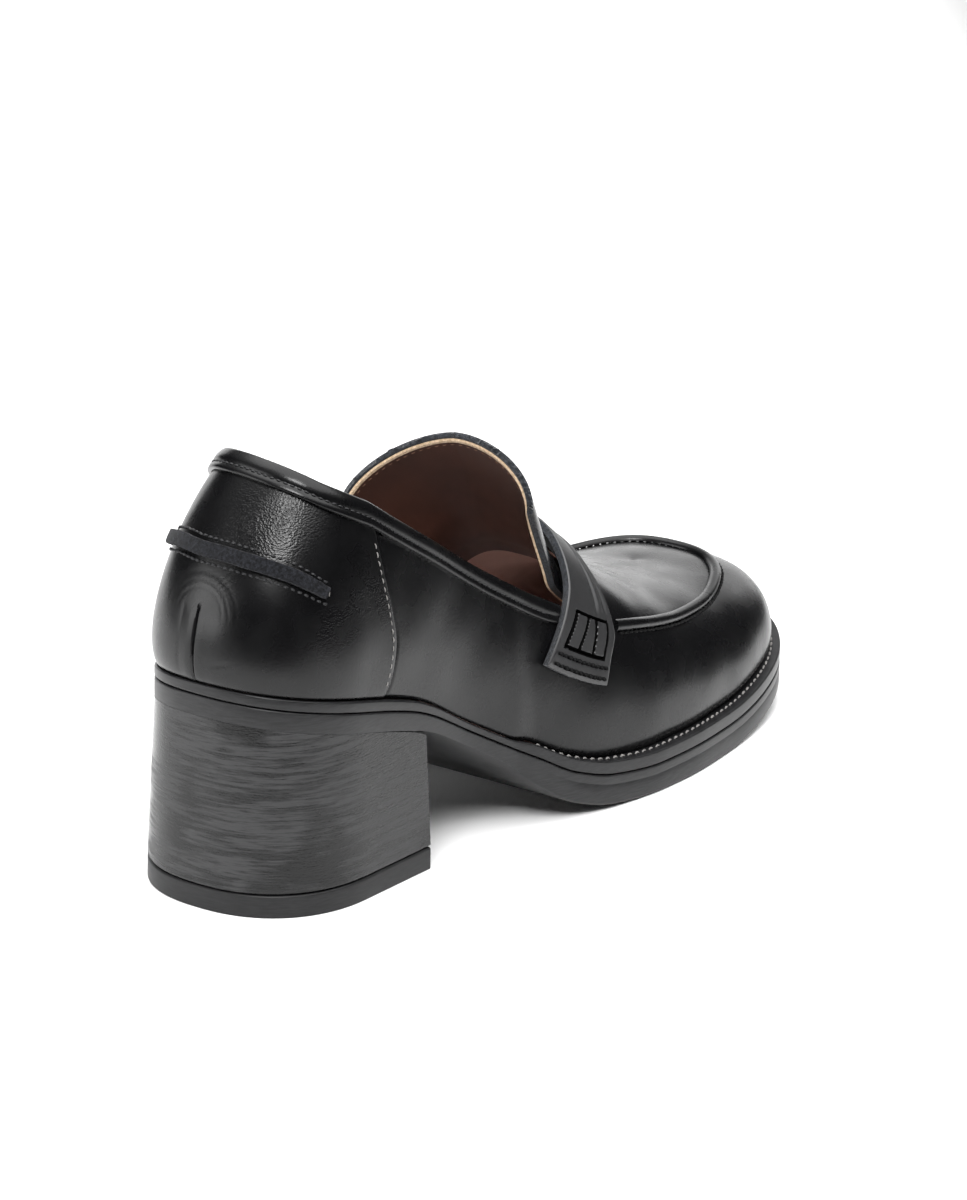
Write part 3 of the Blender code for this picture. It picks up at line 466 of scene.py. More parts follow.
def skin(turn, rise, out):
    """A point at a distance outside the upper's surface; out is negative inside it."""
    normal = last_normal(turn, rise)
    normal[..., 2] *= np.clip(rise / FEATHER_FLAT, 0, 1)
    normal /= np.linalg.norm(normal, axis=-1, keepdims=True)
    return last_point(turn, rise) + normal * np.asarray(out)[..., None]


def rise_at_height(turn, height):
    """Rise at which the upper's surface reaches a height; height takes the surface's points."""
    turn = np.asarray(turn, float)
    low, high = np.zeros(turn.shape), np.ones(turn.shape)
    for _ in range(BISECTIONS):
        middle = (low + high) / 2
        point = last_point(turn, middle)
        above = point[..., 2] > height(point, turn)
        low, high = np.where(above, low, middle), np.where(above, middle, high)
    return low


def topline_height(point, turn):
    """Height of the collar's edge over a point of the upper."""
    x = point[..., 0]
    level = np.where(turn < 0, TOPLINE_AT["lateral"](x), TOPLINE_AT["medial"](x))
    tilted = np.clip((COLLAR_TILT_END - x) / (COLLAR_TILT_END - COLLAR_TILT_START), 0, 1)
    return level + COLLAR_TILT * tilted * point[..., 1]


def heel_strap_height(point, turn):
    """Height of the middle of the heel strap."""
    del point
    return HEEL_STRAP_AT["z"](turn)


def topline_rise(turn):
    """Rise of the collar's edge, which turns up to the ridge at the throat and stays there in front."""
    low = rise_at_height(turn, topline_height)
    x = station_x(np.abs(turn))
    share = np.clip((x - THROAT_START) / (THROAT_END - THROAT_START), 0, 1)
    return low + (1 - low) * (1 - np.sqrt(1 - share**2))


def throat_x(rise, side):
    """x of the throat's edge at a rise, the inverse of topline_rise in front of the collar."""
    turn = np.full(np.shape(rise), side * share_of(THROAT_START))
    low = rise_at_height(turn, topline_height)
    above = np.clip((rise - low) / (1 - low), 0, 1)
    return THROAT_START + (THROAT_END - THROAT_START) * np.sqrt(1 - (1 - above) ** 2)


def rise_per_mm(turn, rise):
    """How much rise one millimetre up the surface takes."""
    span = last_point(turn, rise + RISE_STEP) - last_point(turn, rise - RISE_STEP)
    return 2 * RISE_STEP / np.linalg.norm(span, axis=-1)


def joined(*runs):
    """Evenly spaced values over runs of (start, end, count), each from where the one before it ends."""
    parts = [np.linspace(*run) for run in runs]
    return np.concatenate([parts[0]] + [part[1:] for part in parts[1:]])


def around(shares):
    """Turns right round the shoe, from the toe along the lateral side and back along the medial."""
    return np.concatenate([-shares[::-1], shares[1:-1]])


def quad_faces(count_u, count_v, wrap_u=False, wrap_v=False):
    """Faces of a grid of points, given by their numbers."""
    index = np.arange(count_u * count_v).reshape(count_u, count_v)
    if wrap_u:
        index = np.concatenate([index, index[:1]], 0)
    if wrap_v:
        index = np.concatenate([index, index[:, :1]], 1)
    corners = (index[:-1, :-1], index[1:, :-1], index[1:, 1:], index[:-1, 1:])
    return np.stack(corners, -1).reshape(-1, 4)


def grid_normals(grid):
    """Directions at right angles to a grid of points."""
    normal = np.cross(np.gradient(grid, axis=0), np.gradient(grid, axis=1))
    return normal / np.linalg.norm(normal, axis=-1, keepdims=True)


def plate_sections(shares, edge_rows):
    """Sections across a plate, from rows of (inset, z) down its edge; both sides are the same rows."""
    sections = []
    for share in shares:
        rows = edge_rows(station_x(share))
        lateral, medial = [], []
        for row, (inset, _) in enumerate(rows):
            for side, points in ((-1, lateral), (1, medial)):
                place = inset_outline(np.array(side * share), np.array(inset))[0]
                points.append((place[0], place[1], edge_rows(place[0])[row][1]))
        sections.append(lateral + medial[::-1])
    return np.array(sections)


def laid_strip(turns, rises, half_width, heights, lift):
    """Sections of a strip laid along a path on the upper, from (side, height) rows of its profile."""
    path = last_point(turns, rises)
    normal = last_normal(turns, rises)
    ahead = np.gradient(path, axis=0)
    ahead -= normal * np.sum(ahead * normal, -1, keepdims=True)
    ahead /= np.linalg.norm(ahead, axis=-1, keepdims=True)
    aside = np.cross(normal, ahead)
    rows = [
        path + aside * (side * half_width)[:, None] + normal * (height + lift)
        for side, height in heights
    ]
    return np.stack(rows, 1)


def table_origin():
    """Offset from the tables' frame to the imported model's, in millimetres, from the heel tap's box."""
    low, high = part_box("heel_tap")
    seat = share_of(BREAST)
    edge = inset_outline(np.linspace(-seat, seat, 801), np.full(801, -HEEL_FLARE))[0]
    middle = (edge[:, 1].min() + edge[:, 1].max()) / 2
    return np.array([low.x / MM - edge[:, 0].min(), (low.y + high.y) / 2 / MM - middle, 0.0])


ORIGIN = table_origin()


def catmull_rows(rows, count):
    """Rows of points on a smooth curve through the given rows."""
    rows = np.asarray(rows, float)
    padded = np.concatenate([[2 * rows[0] - rows[1]], rows, [2 * rows[-1] - rows[-2]]])
    at = np.linspace(0, len(rows) - 1, count)
    i = np.minimum(at.astype(int), len(rows) - 2)
    t = (at - i).reshape((-1,) + (1,) * (rows.ndim - 1))
    a, b, c, d = (padded[i + k] for k in range(4))
    return b + t / 2 * (c - a + t * (2 * a - 5 * b + 4 * c - d + t * (3 * (b - c) + d - a)))


def placed(name, data):
    """An object in the scene."""
    made = bpy.data.objects.new(name, data)
    bpy.context.scene.collection.objects.link(made)
    return made


def mesh_piece(name, points, faces, materials, slots=None, join=0.0, crease_deg=38.0):
    """One mesh object from points in the tables' frame; slots gives each face its material."""
    mesh = bpy.data.meshes.new(name)
    place = (np.asarray(points, float).reshape(-1, 3) + ORIGIN) * MM
    faces = faces.tolist() if isinstance(faces, np.ndarray) else faces
    mesh.from_pydata(place.tolist(), [], faces)
    for item in materials:
        mesh.materials.append(item)
    if slots is not None:
        mesh.polygons.foreach_set("material_index", np.asarray(slots, np.int32))
    shape = bmesh.new()
    shape.from_mesh(mesh)
    if join:
        bmesh.ops.remove_doubles(shape, verts=shape.verts, dist=join * MM)
        bmesh.ops.dissolve_degenerate(shape, edges=shape.edges, dist=join * MM)
    bmesh.ops.recalc_face_normals(shape, faces=shape.faces)
    shape.to_mesh(mesh)
    shape.free()
    mesh.polygons.foreach_set("use_smooth", np.ones(len(mesh.polygons), bool))
    mesh.set_sharp_from_angle(angle=math.radians(crease_deg))
    return placed(name, mesh)


def dress(piece, slot, *nodes):
    """Put a piece on the shoe's one body and hide the nodes it stands for; slot is not used."""
    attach(piece, "root")
    if nodes:
        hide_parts(*nodes)


def sheet_solid(name, layers, layer_slots, edge_slots, materials):
    """A solid from grids laid over each other: the first is outside, the last inside.

    layer_slots has the material of the outer and the inner face, edge_slots that of each strip between
    two grids round the edge.
    """
    count_u, count_v = layers[0].shape[:2]
    total = count_u * count_v
    quads = quad_faces(count_u, count_v)
    index = np.arange(total).reshape(count_u, count_v)
    faces = [quads, quads[:, ::-1] + (len(layers) - 1) * total]
    slots = [np.full(len(quads), layer_slots[0]), np.full(len(quads), layer_slots[1])]
    for edge in (index[0], index[-1], index[:, 0], index[:, -1]):
        for k, slot in enumerate(edge_slots):
            low, high = edge[:-1] + k * total, edge[1:] + k * total
            faces.append(np.stack([low, high, high + total, low + total], -1))
            slots.append(np.full(len(low), slot))
    points = np.concatenate([grid.reshape(-1, 3) for grid in layers])
    return mesh_piece(name, points, np.concatenate(faces), materials, np.concatenate(slots))


def loft_piece(name, sections, material, crease_deg=38.0):
    """A solid through closed sections."""
    count, sides = sections.shape[:2]
    faces = quad_faces(count, sides, wrap_v=True).tolist()
    faces += [list(range(sides)), [(count - 1) * sides + i for i in range(sides)]]
    return mesh_piece(name, sections, faces, [material], join=LOFT_JOIN, crease_deg=crease_deg)


def paint_points(piece, name, values):
    """Give each point of a piece a value that its material reads."""
    paint = piece.data.attributes.new(name, "FLOAT", "POINT")
    paint.data.foreach_set("value", np.asarray(values, np.float32))


def ramp(x, start, end):
    """0 before start, 1 after end, and smooth between."""
    t = np.clip((x - start) / (end - start), 0, 1)
    return t * t * (3 - 2 * t)


def bell(x, middle, width):
    """A soft bump of height 1."""
    return np.exp(-(((x - middle) / width) ** 2))


# Materials

LEATHER = (0.003, 0.003, 0.0034)
LEATHER_ROUGHNESS = 0.3


def socket(item, name):
    """An input of the material's shader."""
    return item.node_tree.nodes["Principled BSDF"].inputs[name]


def plain(name, color, roughness, specular=0.5, sheen=0.0):
    """A Principled material and its tree, to which the functions below add grain."""
    item = bpy.data.materials.new(name)
    item.use_nodes = True
    for key, value in (
        ("Base Color", (*color, 1.0)),
        ("Roughness", roughness),
        ("Specular IOR Level", specular),
        ("Sheen Weight", sheen),
    ):
        socket(item, key).default_value = value
    item.diffuse_color = (*color, 1.0)
    return item


def node(item, kind, **values):
    """A node with its inputs and settings."""
    made = item.node_tree.nodes.new(kind)
    for key, value in values.items():
        if key in made.inputs:
            made.inputs[key].default_value = value
        else:
            setattr(made, key, value)
    return made


def link(item, start, end):
    item.node_tree.links.new(start, end)


def place(item, stretch=(1.0, 1.0, 1.0)):
    """Object coordinates, stretched along the axes."""
    where = node(item, "ShaderNodeTexCoord")
    mapping = node(item, "ShaderNodeMapping")
    mapping.inputs["Scale"].default_value = stretch
    link(item, where.outputs["Object"], mapping.inputs["Vector"])
    return mapping.outputs["Vector"]


def pattern(item, kind, per_mm, stretch=(1.0, 1.0, 1.0), detail=2.0, rough=0.5):
    """Value of a noise or cell pattern with that many features a millimetre."""
    if kind == "cells":
        made = node(item, "ShaderNodeTexVoronoi", feature="SMOOTH_F1", Scale=per_mm / MM, Smoothness=0.6)
        output = "Distance"
    else:
        made = node(item, "ShaderNodeTexNoise", Scale=per_mm / MM, Detail=detail, Roughness=rough)
        output = "Fac"
    link(item, place(item, stretch), made.inputs["Vector"])
    return made.outputs[output]


def between(item, value, low, high, to_low, to_high):
    """value's range low to high, carried to another range."""
    made = node(item, "ShaderNodeMapRange")
    for name, number in (("From Min", low), ("From Max", high), ("To Min", to_low), ("To Max", to_high)):
        made.inputs[name].default_value = number
    link(item, value, made.inputs["Value"])
    return made.outputs["Result"]


def raised(item, heights):
    """Bump from rows of (value, depth in mm, strength or mask); the rows add up."""
    normal = None
    for value, depth, strength in heights:
        bump = node(item, "ShaderNodeBump", Distance=depth * MM)
        link(item, value, bump.inputs["Height"])
        if isinstance(strength, float):
            bump.inputs["Strength"].default_value = strength
        else:
            link(item, strength, bump.inputs["Strength"])
        if normal is not None:
            link(item, normal, bump.inputs["Normal"])
        normal = bump.outputs["Normal"]
    link(item, normal, socket(item, "Normal"))


def mask(item, name):
    """A value painted on the piece's points."""
    return node(item, "ShaderNodeAttribute", attribute_name=name).outputs["Fac"]


def tinted(item, value, dark, light, low=0.35, high=0.65):
    """Base colour between two tones by a pattern's value."""
    made = node(item, "ShaderNodeMix", data_type="RGBA")
    link(item, between(item, value, low, high, 0.0, 1.0), made.inputs["Factor"])
    made.inputs[6].default_value = (*dark, 1.0)
    made.inputs[7].default_value = (*light, 1.0)
    link(item, made.outputs[2], socket(item, "Base Color"))


def leather(name, low=0.23, high=0.31, specular=0.34, color=LEATHER, grained=False):
    """Polished leather, with roughness from low to high; grained adds pebbles where the mask says so."""
    item = plain(name, color, LEATHER_ROUGHNESS, specular=specular)
    link(item, between(item, pattern(item, "noise", 0.12), 0.3, 0.7, low, high), socket(item, "Roughness"))
    grain = [(pattern(item, "noise", 1.3, detail=3.0), 0.05, 0.5)]
    if grained:
        pebbles = pattern(item, "cells", 1.7, stretch=(1.0, 1.0, 1.4))
        grain.insert(0, (pebbles, 0.16, mask(item, "grain")))
    raised(item, grain)
    return item


def suede(name, dark, light, sheen=0.3):
    """Raw cut leather or the flesh side: fibres and no gloss."""
    item = plain(name, dark, 0.9, sheen=sheen, specular=0.2)
    fibres = pattern(item, "noise", 1.1, detail=6.0, rough=0.75)
    tinted(item, fibres, dark, light, 0.42, 0.62)
    raised(item, [(fibres, 0.4, 0.9)])
    return item


def sole_edge(name, dark, light, roughness):
    """Waxed edge of a leather sole, with fine lines along it."""
    item = plain(name, dark, roughness, specular=0.35)
    lines = pattern(item, "noise", 0.25, stretch=(1.0, 1.0, 9.0), detail=4.0)
    tinted(item, lines, dark, light)
    raised(item, [(lines, 0.03, 0.5), (pattern(item, "noise", 1.5), 0.02, 0.5)])
    return item


def product(item, first, second):
    """Two values multiplied."""
    made = node(item, "ShaderNodeMath", operation="MULTIPLY")
    link(item, first, made.inputs[0])
    link(item, second, made.inputs[1])
    return made.outputs["Value"]


def stacked(name):
    """Stacked leather heel: burnished, with fine lines round it, patches of black streaks and a painted dark
    reflection at its back edge.
    """
    item = plain(name, (0.015, 0.015, 0.016), 0.4, specular=0.4)
    lines = pattern(item, "noise", 0.16, stretch=(1.0, 1.0, 14.0), detail=5.0, rough=0.65)
    streaks = pattern(item, "noise", 0.05, stretch=(1.0, 1.0, 16.0), detail=3.0)
    streaks = between(item, streaks, 0.44, 0.56, 0.35, 1.0)
    pits = pattern(item, "noise", 1.1, stretch=(1.0, 1.0, 1.8), detail=3.0)
    patches = between(item, pattern(item, "noise", 0.035, detail=2.0), 0.46, 0.58, 1.0, 0.1)
    tone = product(item, product(item, between(item, lines, 0.25, 0.65, 0.0, 1.0), streaks), patches)
    # Painted dark reflection: where its mask is 1 the heel turns black and glossy.
    tone = product(item, tone, between(item, mask(item, "dark_reflection"), 0.0, 1.0, 1.0, 0.0))
    tinted(item, tone, (0.001, 0.001, 0.0012), (0.036, 0.036, 0.037), 0.12, 0.62)
    link(item, between(item, tone, 0.0, 0.6, 0.16, 0.5), socket(item, "Roughness"))
    raised(item, [(lines, 0.14, 0.6), (pits, 0.10, 0.7)])
    return item


def lining(name, color, light, roughness):
    item = plain(name, color, roughness)
    tinted(item, pattern(item, "noise", 0.05, detail=4.0), color, light)
    raised(item, [(pattern(item, "cells", 2.0), 0.03, 0.5)])
    return item


def thread(name, color, specular=0.5):
    item = plain(name, color, 0.55, specular=specular)
    raised(item, [(pattern(item, "noise", 4.0), 0.06, 0.7)])
    return item


BLACK = leather("black_leather")
STRAP = leather("strap_leather", 0.4, 0.48, 0.9, (0.016, 0.016, 0.017))
# Near black and barely reflecting: painted shade for the bottoms of the saddle strap's sewn channels.
CHANNEL_SHADE = plain("channel_painted_shade", (0.001, 0.001, 0.001), 0.9, specular=0.05)
COUNTER = leather("counter_leather", 0.24, 0.32, 0.36, grained=True)
LINING = lining("brown_lining", (0.035, 0.012, 0.007), (0.055, 0.02, 0.012), 0.5)
VAMP_LINING = lining("pink_lining", (0.55, 0.39, 0.34), (0.62, 0.46, 0.41), 0.5)
FOOTBED = lining("footbed_leather", (0.45, 0.35, 0.33), (0.54, 0.43, 0.41), 0.5)
RAW_BLACK = suede("raw_black_edge", (0.006, 0.007, 0.009), (0.03, 0.034, 0.042))
RAW_STRIP = suede("raw_charcoal_strip", (0.002, 0.0022, 0.003), (0.018, 0.019, 0.024), 0.08)
RAW_TAN = suede("raw_tan_edge", (0.48, 0.34, 0.21), (0.78, 0.60, 0.42))
WELT = sole_edge("welt_edge", (0.008, 0.008, 0.0085), (0.016, 0.016, 0.017), 0.36)
SOLE = sole_edge("sole_edge", (0.010, 0.010, 0.0105), (0.020, 0.020, 0.021), 0.4)
STACK = stacked("stacked_heel")
RUBBER = sole_edge("rubber_tap", (0.009, 0.009, 0.0095), (0.015, 0.015, 0.016), 0.48)
# Light grey: grey thread on the quarter seams and at the heel strip's end, and painted glint on the welt's
# dark thread.
THREAD_GREY_AND_GLINT = thread("grey_thread_and_glint", (0.26, 0.25, 0.24))
THREAD_DARK = thread("dark_thread", (0.02, 0.02, 0.022))
THREAD_BLACK = thread("black_thread", (0.002, 0.002, 0.0022), 0.12)
THREAD_TAN = thread("tan_thread", (0.16, 0.08, 0.045))


# Sole


def fine_shares(heel_count, side_count, toe_count):
    """Shares from heel to toe, closer together than the CAD model's stations."""
    side = share_of(np.linspace(BACK + HEEL_ROUND, LENGTH - TOE_ROUND, side_count)[1:-1])
    toe = np.linspace(TOE_SHARE, 1, toe_count)
    return np.concatenate([np.linspace(0, HEEL_SHARE, heel_count), side, toe])


def back_shares(heel_count, end, side_count):
    """Shares from the centre back to a station on the side."""
    side = share_of(np.linspace(BACK + HEEL_ROUND, end, side_count)[1:])
    return np.concatenate([np.linspace(0, HEEL_SHARE, heel_count), side])


def ring_points(turns, edge_rows):
    """Columns of points down a plate's edge, all the way round."""
    columns = []
    for turn in turns:
        insets = np.array([inset for inset, _ in edge_rows(station_x(abs(turn)))])
        spots = inset_outline(np.full(len(insets), turn), insets)[0]
        columns.append([(x, y, edge_rows(x)[row][1]) for row, (x, y) in enumerate(spots)])
    return np.array(columns)


def ring_piece(name, columns, closed, material):
    """A solid from columns round its edge, from the tip or front over the lateral side and the back.

    Both ends of the columns are joined across, and so is the open front where the ring isn't closed.
    """
    count, rows = columns.shape[:2]
    half = count // 2
    index = np.arange(count * rows).reshape(count, rows)
    lateral = index[half::-1]
    medial = np.roll(index, -half, axis=0)[:half + 1]
    faces = quad_faces(count, rows, wrap_u=closed).tolist()
    for row in (0, -1):
        for near, far in zip(range(half), range(1, half + 1)):
            corners = (lateral[near, row], lateral[far, row], medial[far, row], medial[near, row])
            faces.append([int(c) for c in dict.fromkeys(corners)])
    if not closed:
        faces.append([int(i) for i in lateral[-1]] + [int(i) for i in medial[-1][::-1]])
    return mesh_piece(name, columns, faces, [material])


def arc_rows(inset, z, radius, up):
    """A rounded edge from the wall to the face above it (up 1) or below it (up -1)."""
    angles = np.linspace(0, math.pi / 2, 5)
    return [(inset + radius * (1 - math.cos(a)), z - up * radius * (1 - math.sin(a))) for a in angles]


def build_outsole():
    def rows(x):
        joint = SIDE_AT["joint_z"](x) - GAP / 2
        edge = SIDE_AT["joint_z"](x) - SIDE_AT["edge"](x)
        under = SIDE_AT["joint_z"](x) - SIDE_AT["depth"](x)
        bevel = SIDE_AT["bevel"](x)
        corner = min(EDGE_ROUND, bevel)
        line = joint - LAYER_LINE
        notch = LINE_DEPTH * ramp(x, LINE_START, LINE_FULL)
        return (
            *arc_rows(0.0, joint, EDGE_ROUND, 1)[::-1],
            (0.0, line + 0.35),
            (notch, line + 0.1),
            (notch, line - 0.1),
            (0.0, line - 0.35),
            (0.0, edge + 0.3),
            (0.06, edge),
            (corner, edge - (edge - under) * corner / bevel - CORNER_DROP),
            (bevel, under),
        )

    columns = ring_points(around(fine_shares(*SOLE_COUNTS)), rows)
    dress(ring_piece("outsole_edge", columns, True, SOLE), "outsole", "outsole")


def build_welt():
    def rows(x):
        low = SIDE_AT["joint_z"](x) + GAP / 2
        high = SIDE_AT["joint_z"](x) + SIDE_AT["welt"](x)
        margin = PLAN_AT["margin"](x)
        return (
            *[(a, low + low - b) for a, b in arc_rows(0.0, low, EDGE_ROUND, 1)][::-1],
            (0.0, (low + high) / 2),
            *arc_rows(0.0, high, WELT_BEVEL * 0.6, 1),
            (margin - 0.4, high),
            (margin + 2.0, high),
        )

    columns = ring_points(around(fine_shares(*SOLE_COUNTS)), rows)
    dress(ring_piece("welt_edge", columns, True, WELT), "welt", "welt")


def build_insole():
    def rows(x):
        base = SIDE_AT["joint_z"](x) + SIDE_AT["welt"](x) + GAP
        inset = PLAN_AT["margin"](x) + WALL + INSOLE_CLEAR
        top = base + INSOLE_HEIGHT
        return (
            (inset + INSOLE_FOOT, base),
            (inset, base + INSOLE_HEIGHT / 2),
            (inset + 0.15, top - 0.35),
            (inset + INSOLE_BROW, top),
            (inset + 3.0, top - INSOLE_DISH * 0.3),
            (inset + INSOLE_DISH_IN, top - INSOLE_DISH),
        )

    shares = fine_shares(*INSOLE_COUNTS)
    xs = station_x(shares)
    inside = shares[(xs > BACK + INSOLE_BACK) & (xs < LENGTH - INSOLE_TIP)]
    dress(loft_piece("footbed", plate_sections(inside, rows), FOOTBED), "insole", "insole")


def heel_columns(rows, top):
    """Columns round the heel from rows of (inset, level, lift), as in the CAD source."""
    shares = back_shares(41, BREAST, 13)
    inset, level, lift = np.array(rows).T
    flare = HEEL_FLARE * (1 - level) ** HEEL_FLARE_CURVE
    columns = []
    for turn in np.concatenate([-shares[::-1], shares[1:]]):
        spots = inset_outline(np.full(len(inset), turn), inset - flare)[0]
        forward = np.clip((station_x(abs(turn)) - HEEL_ROUND) / (BREAST - HEEL_ROUND), 0, 1)
        x = spots[:, 0] + (1 - level) * HEEL_SLANT * forward
        if abs(turn) == shares[-1]:
            x = BREAST + HEEL_SLANT * (1 - level)
        columns.append(np.stack([x, spots[:, 1], top(spots[:, 0]) * level + lift], -1))
    return np.array(columns)


def build_heel():
    base = TAP_HEIGHT + GAP

    def top(x):
        return SIDE_AT["joint_z"](x) - SIDE_AT["depth"](x) - FACE_CLEAR

    rows = [(0.0, level, base * (1 - level)) for level in np.linspace(1, 0.04, 13)]
    rows += [(a, 0.0, 2 * base - b) for a, b in arc_rows(0.0, base, TAP_ROUND, 1)]
    columns = heel_columns(rows, top)
    piece = ring_piece("stacked_heel", columns, False, STACK)
    # Mask of the painted dark reflection at the heel's back edge, with a ragged border.
    y, z = columns[..., 1], columns[..., 2]
    ragged = 2.5 * np.sin(z * 1.9) + 1.5 * np.sin(z * 4.3 + 1.0)
    paint_points(piece, "dark_reflection", (ramp(y + ragged, *DARK_REFLECTION_Y) * ramp(z, *DARK_REFLECTION_Z)).ravel())
    dress(piece, "heel", "heel")


def build_tap():
    rows = [(a, 0.0, b) for a, b in arc_rows(0.0, TAP_HEIGHT, TAP_ROUND, 1)[::-1]]
    rows += [(0.0, 0.0, TAP_HEIGHT / 2)]
    rows += [(a, 0.0, -b) for a, b in arc_rows(0.0, 0.0, TAP_ROUND / 2, 1)]
    piece = ring_piece("rubber_tap", heel_columns(rows, np.zeros_like), False, RUBBER)
    dress(piece, "heel_tap", "heel_tap")


# Upper


def soft_dents(points):
    """The slight waviness of soft leather over a last, in millimetres."""
    x, y, z = points[..., 0], points[..., 1], points[..., 2]
    broad = np.sin(x / 9.0 + y / 7.0) * np.sin(z / 8.0)
    return DENTS[0] * broad + DENTS[1] * np.sin(x / 4.3 - z / 3.7 + y / 5.0)


def build_upper():
    """Vamp, quarters and apron with their lining; the heel quarter lies over it as a piece of its own."""
    throat = THROAT_START + (THROAT_END - THROAT_START) * np.sin(np.linspace(0, math.pi / 2, 22)[1:])
    xs = [
        np.linspace(BACK + HEEL_ROUND, SEAM_MIDDLE + 10.0, 40)[1:],
        np.linspace(SEAM_MIDDLE + 10.0, THROAT_START, 54)[1:],
        throat,
        np.linspace(THROAT_END, LENGTH - TOE_ROUND, 46)[1:-1],
    ]
    heel = np.linspace(0, HEEL_SHARE, 40)
    toe = np.linspace(TOE_SHARE, 1, 44)
    turns = around(np.concatenate([heel, share_of(np.concatenate(xs)), toe]))
    edge = topline_rise(turns)
    open_top = edge < AT_RIDGE
    down = np.where(open_top, (BINDING_TOP + GAP) * rise_per_mm(turns, np.minimum(edge, NEAR_RIDGE)), 0)
    rise = (np.linspace(0, 1, UPPER_ROWS) ** ROW_SPREAD)[None, :] * (edge - down)[:, None]
    turn = np.broadcast_to(turns[:, None], rise.shape)
    base = last_point(turn, rise)
    fade = np.minimum(ramp(rise, 0.0, 0.08), np.where(open_top[:, None], 1.0, ramp(1 - rise, 0.0, 0.06)))
    line_ahead, line_width, line_depth = QUARTER_LINE
    ahead = station_x(np.abs(turn)) - SEAM_AT["x"](base[..., 2]) - line_ahead
    outer = skin(turn, rise, soft_dents(base) * fade - line_depth * bell(ahead, 0, line_width))
    inner = skin(turn, rise, -WALL)
    count_u, count_v = rise.shape
    quads = quad_faces(count_u, count_v, wrap_u=True)
    total = count_u * count_v
    faces = [quads, quads[:, ::-1] + total]
    front = station_x(np.abs(np.repeat(turns, count_v - 1))) > VAMP_LINING_START
    slots = [np.zeros(len(quads), int), np.where(front, 2, 1)]
    for row, needed in ((0, np.ones(count_u, bool)), (count_v - 1, open_top | np.roll(open_top, -1))):
        a = np.arange(count_u)[needed] * count_v + row
        b = (np.arange(count_u)[needed] + 1) % count_u * count_v + row
        faces.append(np.stack([a, b, b + total, a + total], -1))
        slots.append(np.zeros(len(a), int))
    points = np.concatenate([outer.reshape(-1, 3), inner.reshape(-1, 3)])
    faces, slots = np.concatenate(faces), np.concatenate(slots)
    piece = mesh_piece("vamp_and_quarters", points, faces, [BLACK, LINING, VAMP_LINING], slots, join=JOIN)
    dress(piece, "upper", "upper")


def seam_share(rise, side):
    """Share of the heel quarter's front edge at a rise."""
    turn = np.full(np.shape(rise), side * share_of(SEAM_MIDDLE))
    return share_of(SEAM_AT["x"](last_point(turn, rise)[..., 2]))


def counter_relief(points):
    """Dart, creases and puckers at the back of the heel, in millimetres."""
    y, z = points[..., 1], points[..., 2]
    side = y - DART_Y
    relief = -DART_DEPTH * bell(side, 0, DART_WIDTH) * ramp(DART_TOP - z, -0.4, 1.6)
    for off, width, height in DART_SWELLS:
        relief += ramp(DART_TOP - z, 0.0, 5.0) * height * bell(side, off, width)
    relief -= 0.07 * bell(side, 5.0, 0.7) * ramp(DART_TOP - z, 0, 2) * ramp(z, 62.0, 66.0)
    out = np.hypot(side, (z - ARCH_CENTRE) * 1.1)
    for radius, width, depth in ARCH_CREASES:
        relief -= depth * bell(out, radius, width) * ramp(z - ARCH_CENTRE, -1.5, 2.5)
    angle = np.arctan2(z - ARCH_CENTRE, -side)
    strokes = np.clip(np.cos(angle * STROKE_TURNS + out * 0.5), 0, 1)
    relief -= STROKE_DEPTH * strokes * bell(angle, 0.75, 0.45) * bell(out, 11.0, 3.2)
    relief -= LOW_CREASE * bell(z + 0.25 * y, 66.0, 0.5) * bell(y, -5.5, 2.6)
    return relief + soft_dents(points)


def build_counter():
    """Heel quarter laid over the upper, with its cut front edges."""
    t = np.linspace(-1, 1, COUNTER_COLUMNS)
    lean = np.sign(t) * np.abs(t) ** 1.5
    rise_share = np.linspace(0, 1, COUNTER_ROWS)
    straight = lean * share_of(SEAM_MIDDLE)
    edge = topline_rise(straight) - (BINDING_TOP + GAP) * rise_per_mm(straight, topline_rise(straight))
    rise = rise_share[None, :] * edge[:, None]
    turn = lean[:, None] * seam_share(rise, 1.0)
    base = last_point(turn, rise)
    from_edge = (1 - np.abs(t))[:, None] * np.ones(rise.shape)
    columns = np.minimum(from_edge * (COUNTER_COLUMNS - 1) / 2, 3.0)
    rounding = 1 - CUT_ROUNDING * np.clip(1 - columns / 2.0, 0, 1) ** 2
    fade = ramp(rise, 0.0, 0.03)
    outer = skin(turn, rise, COUNTER_LIFT * rounding + counter_relief(base) * fade * ramp(columns, 0.0, 3.0))
    inner = skin(turn, rise, -0.5)
    piece = sheet_solid("heel_counter", [outer, inner], (0, 0), (1,), [COUNTER, RAW_BLACK])
    grain = sum(
        share * bell(base[..., 1], y, wide) * bell(base[..., 2], z, high) for y, wide, z, high, share in GRAIN
    )
    paint_points(piece, "grain", np.clip(np.tile(grain.ravel(), 2), 0, 1))
    dress(piece, "upper")


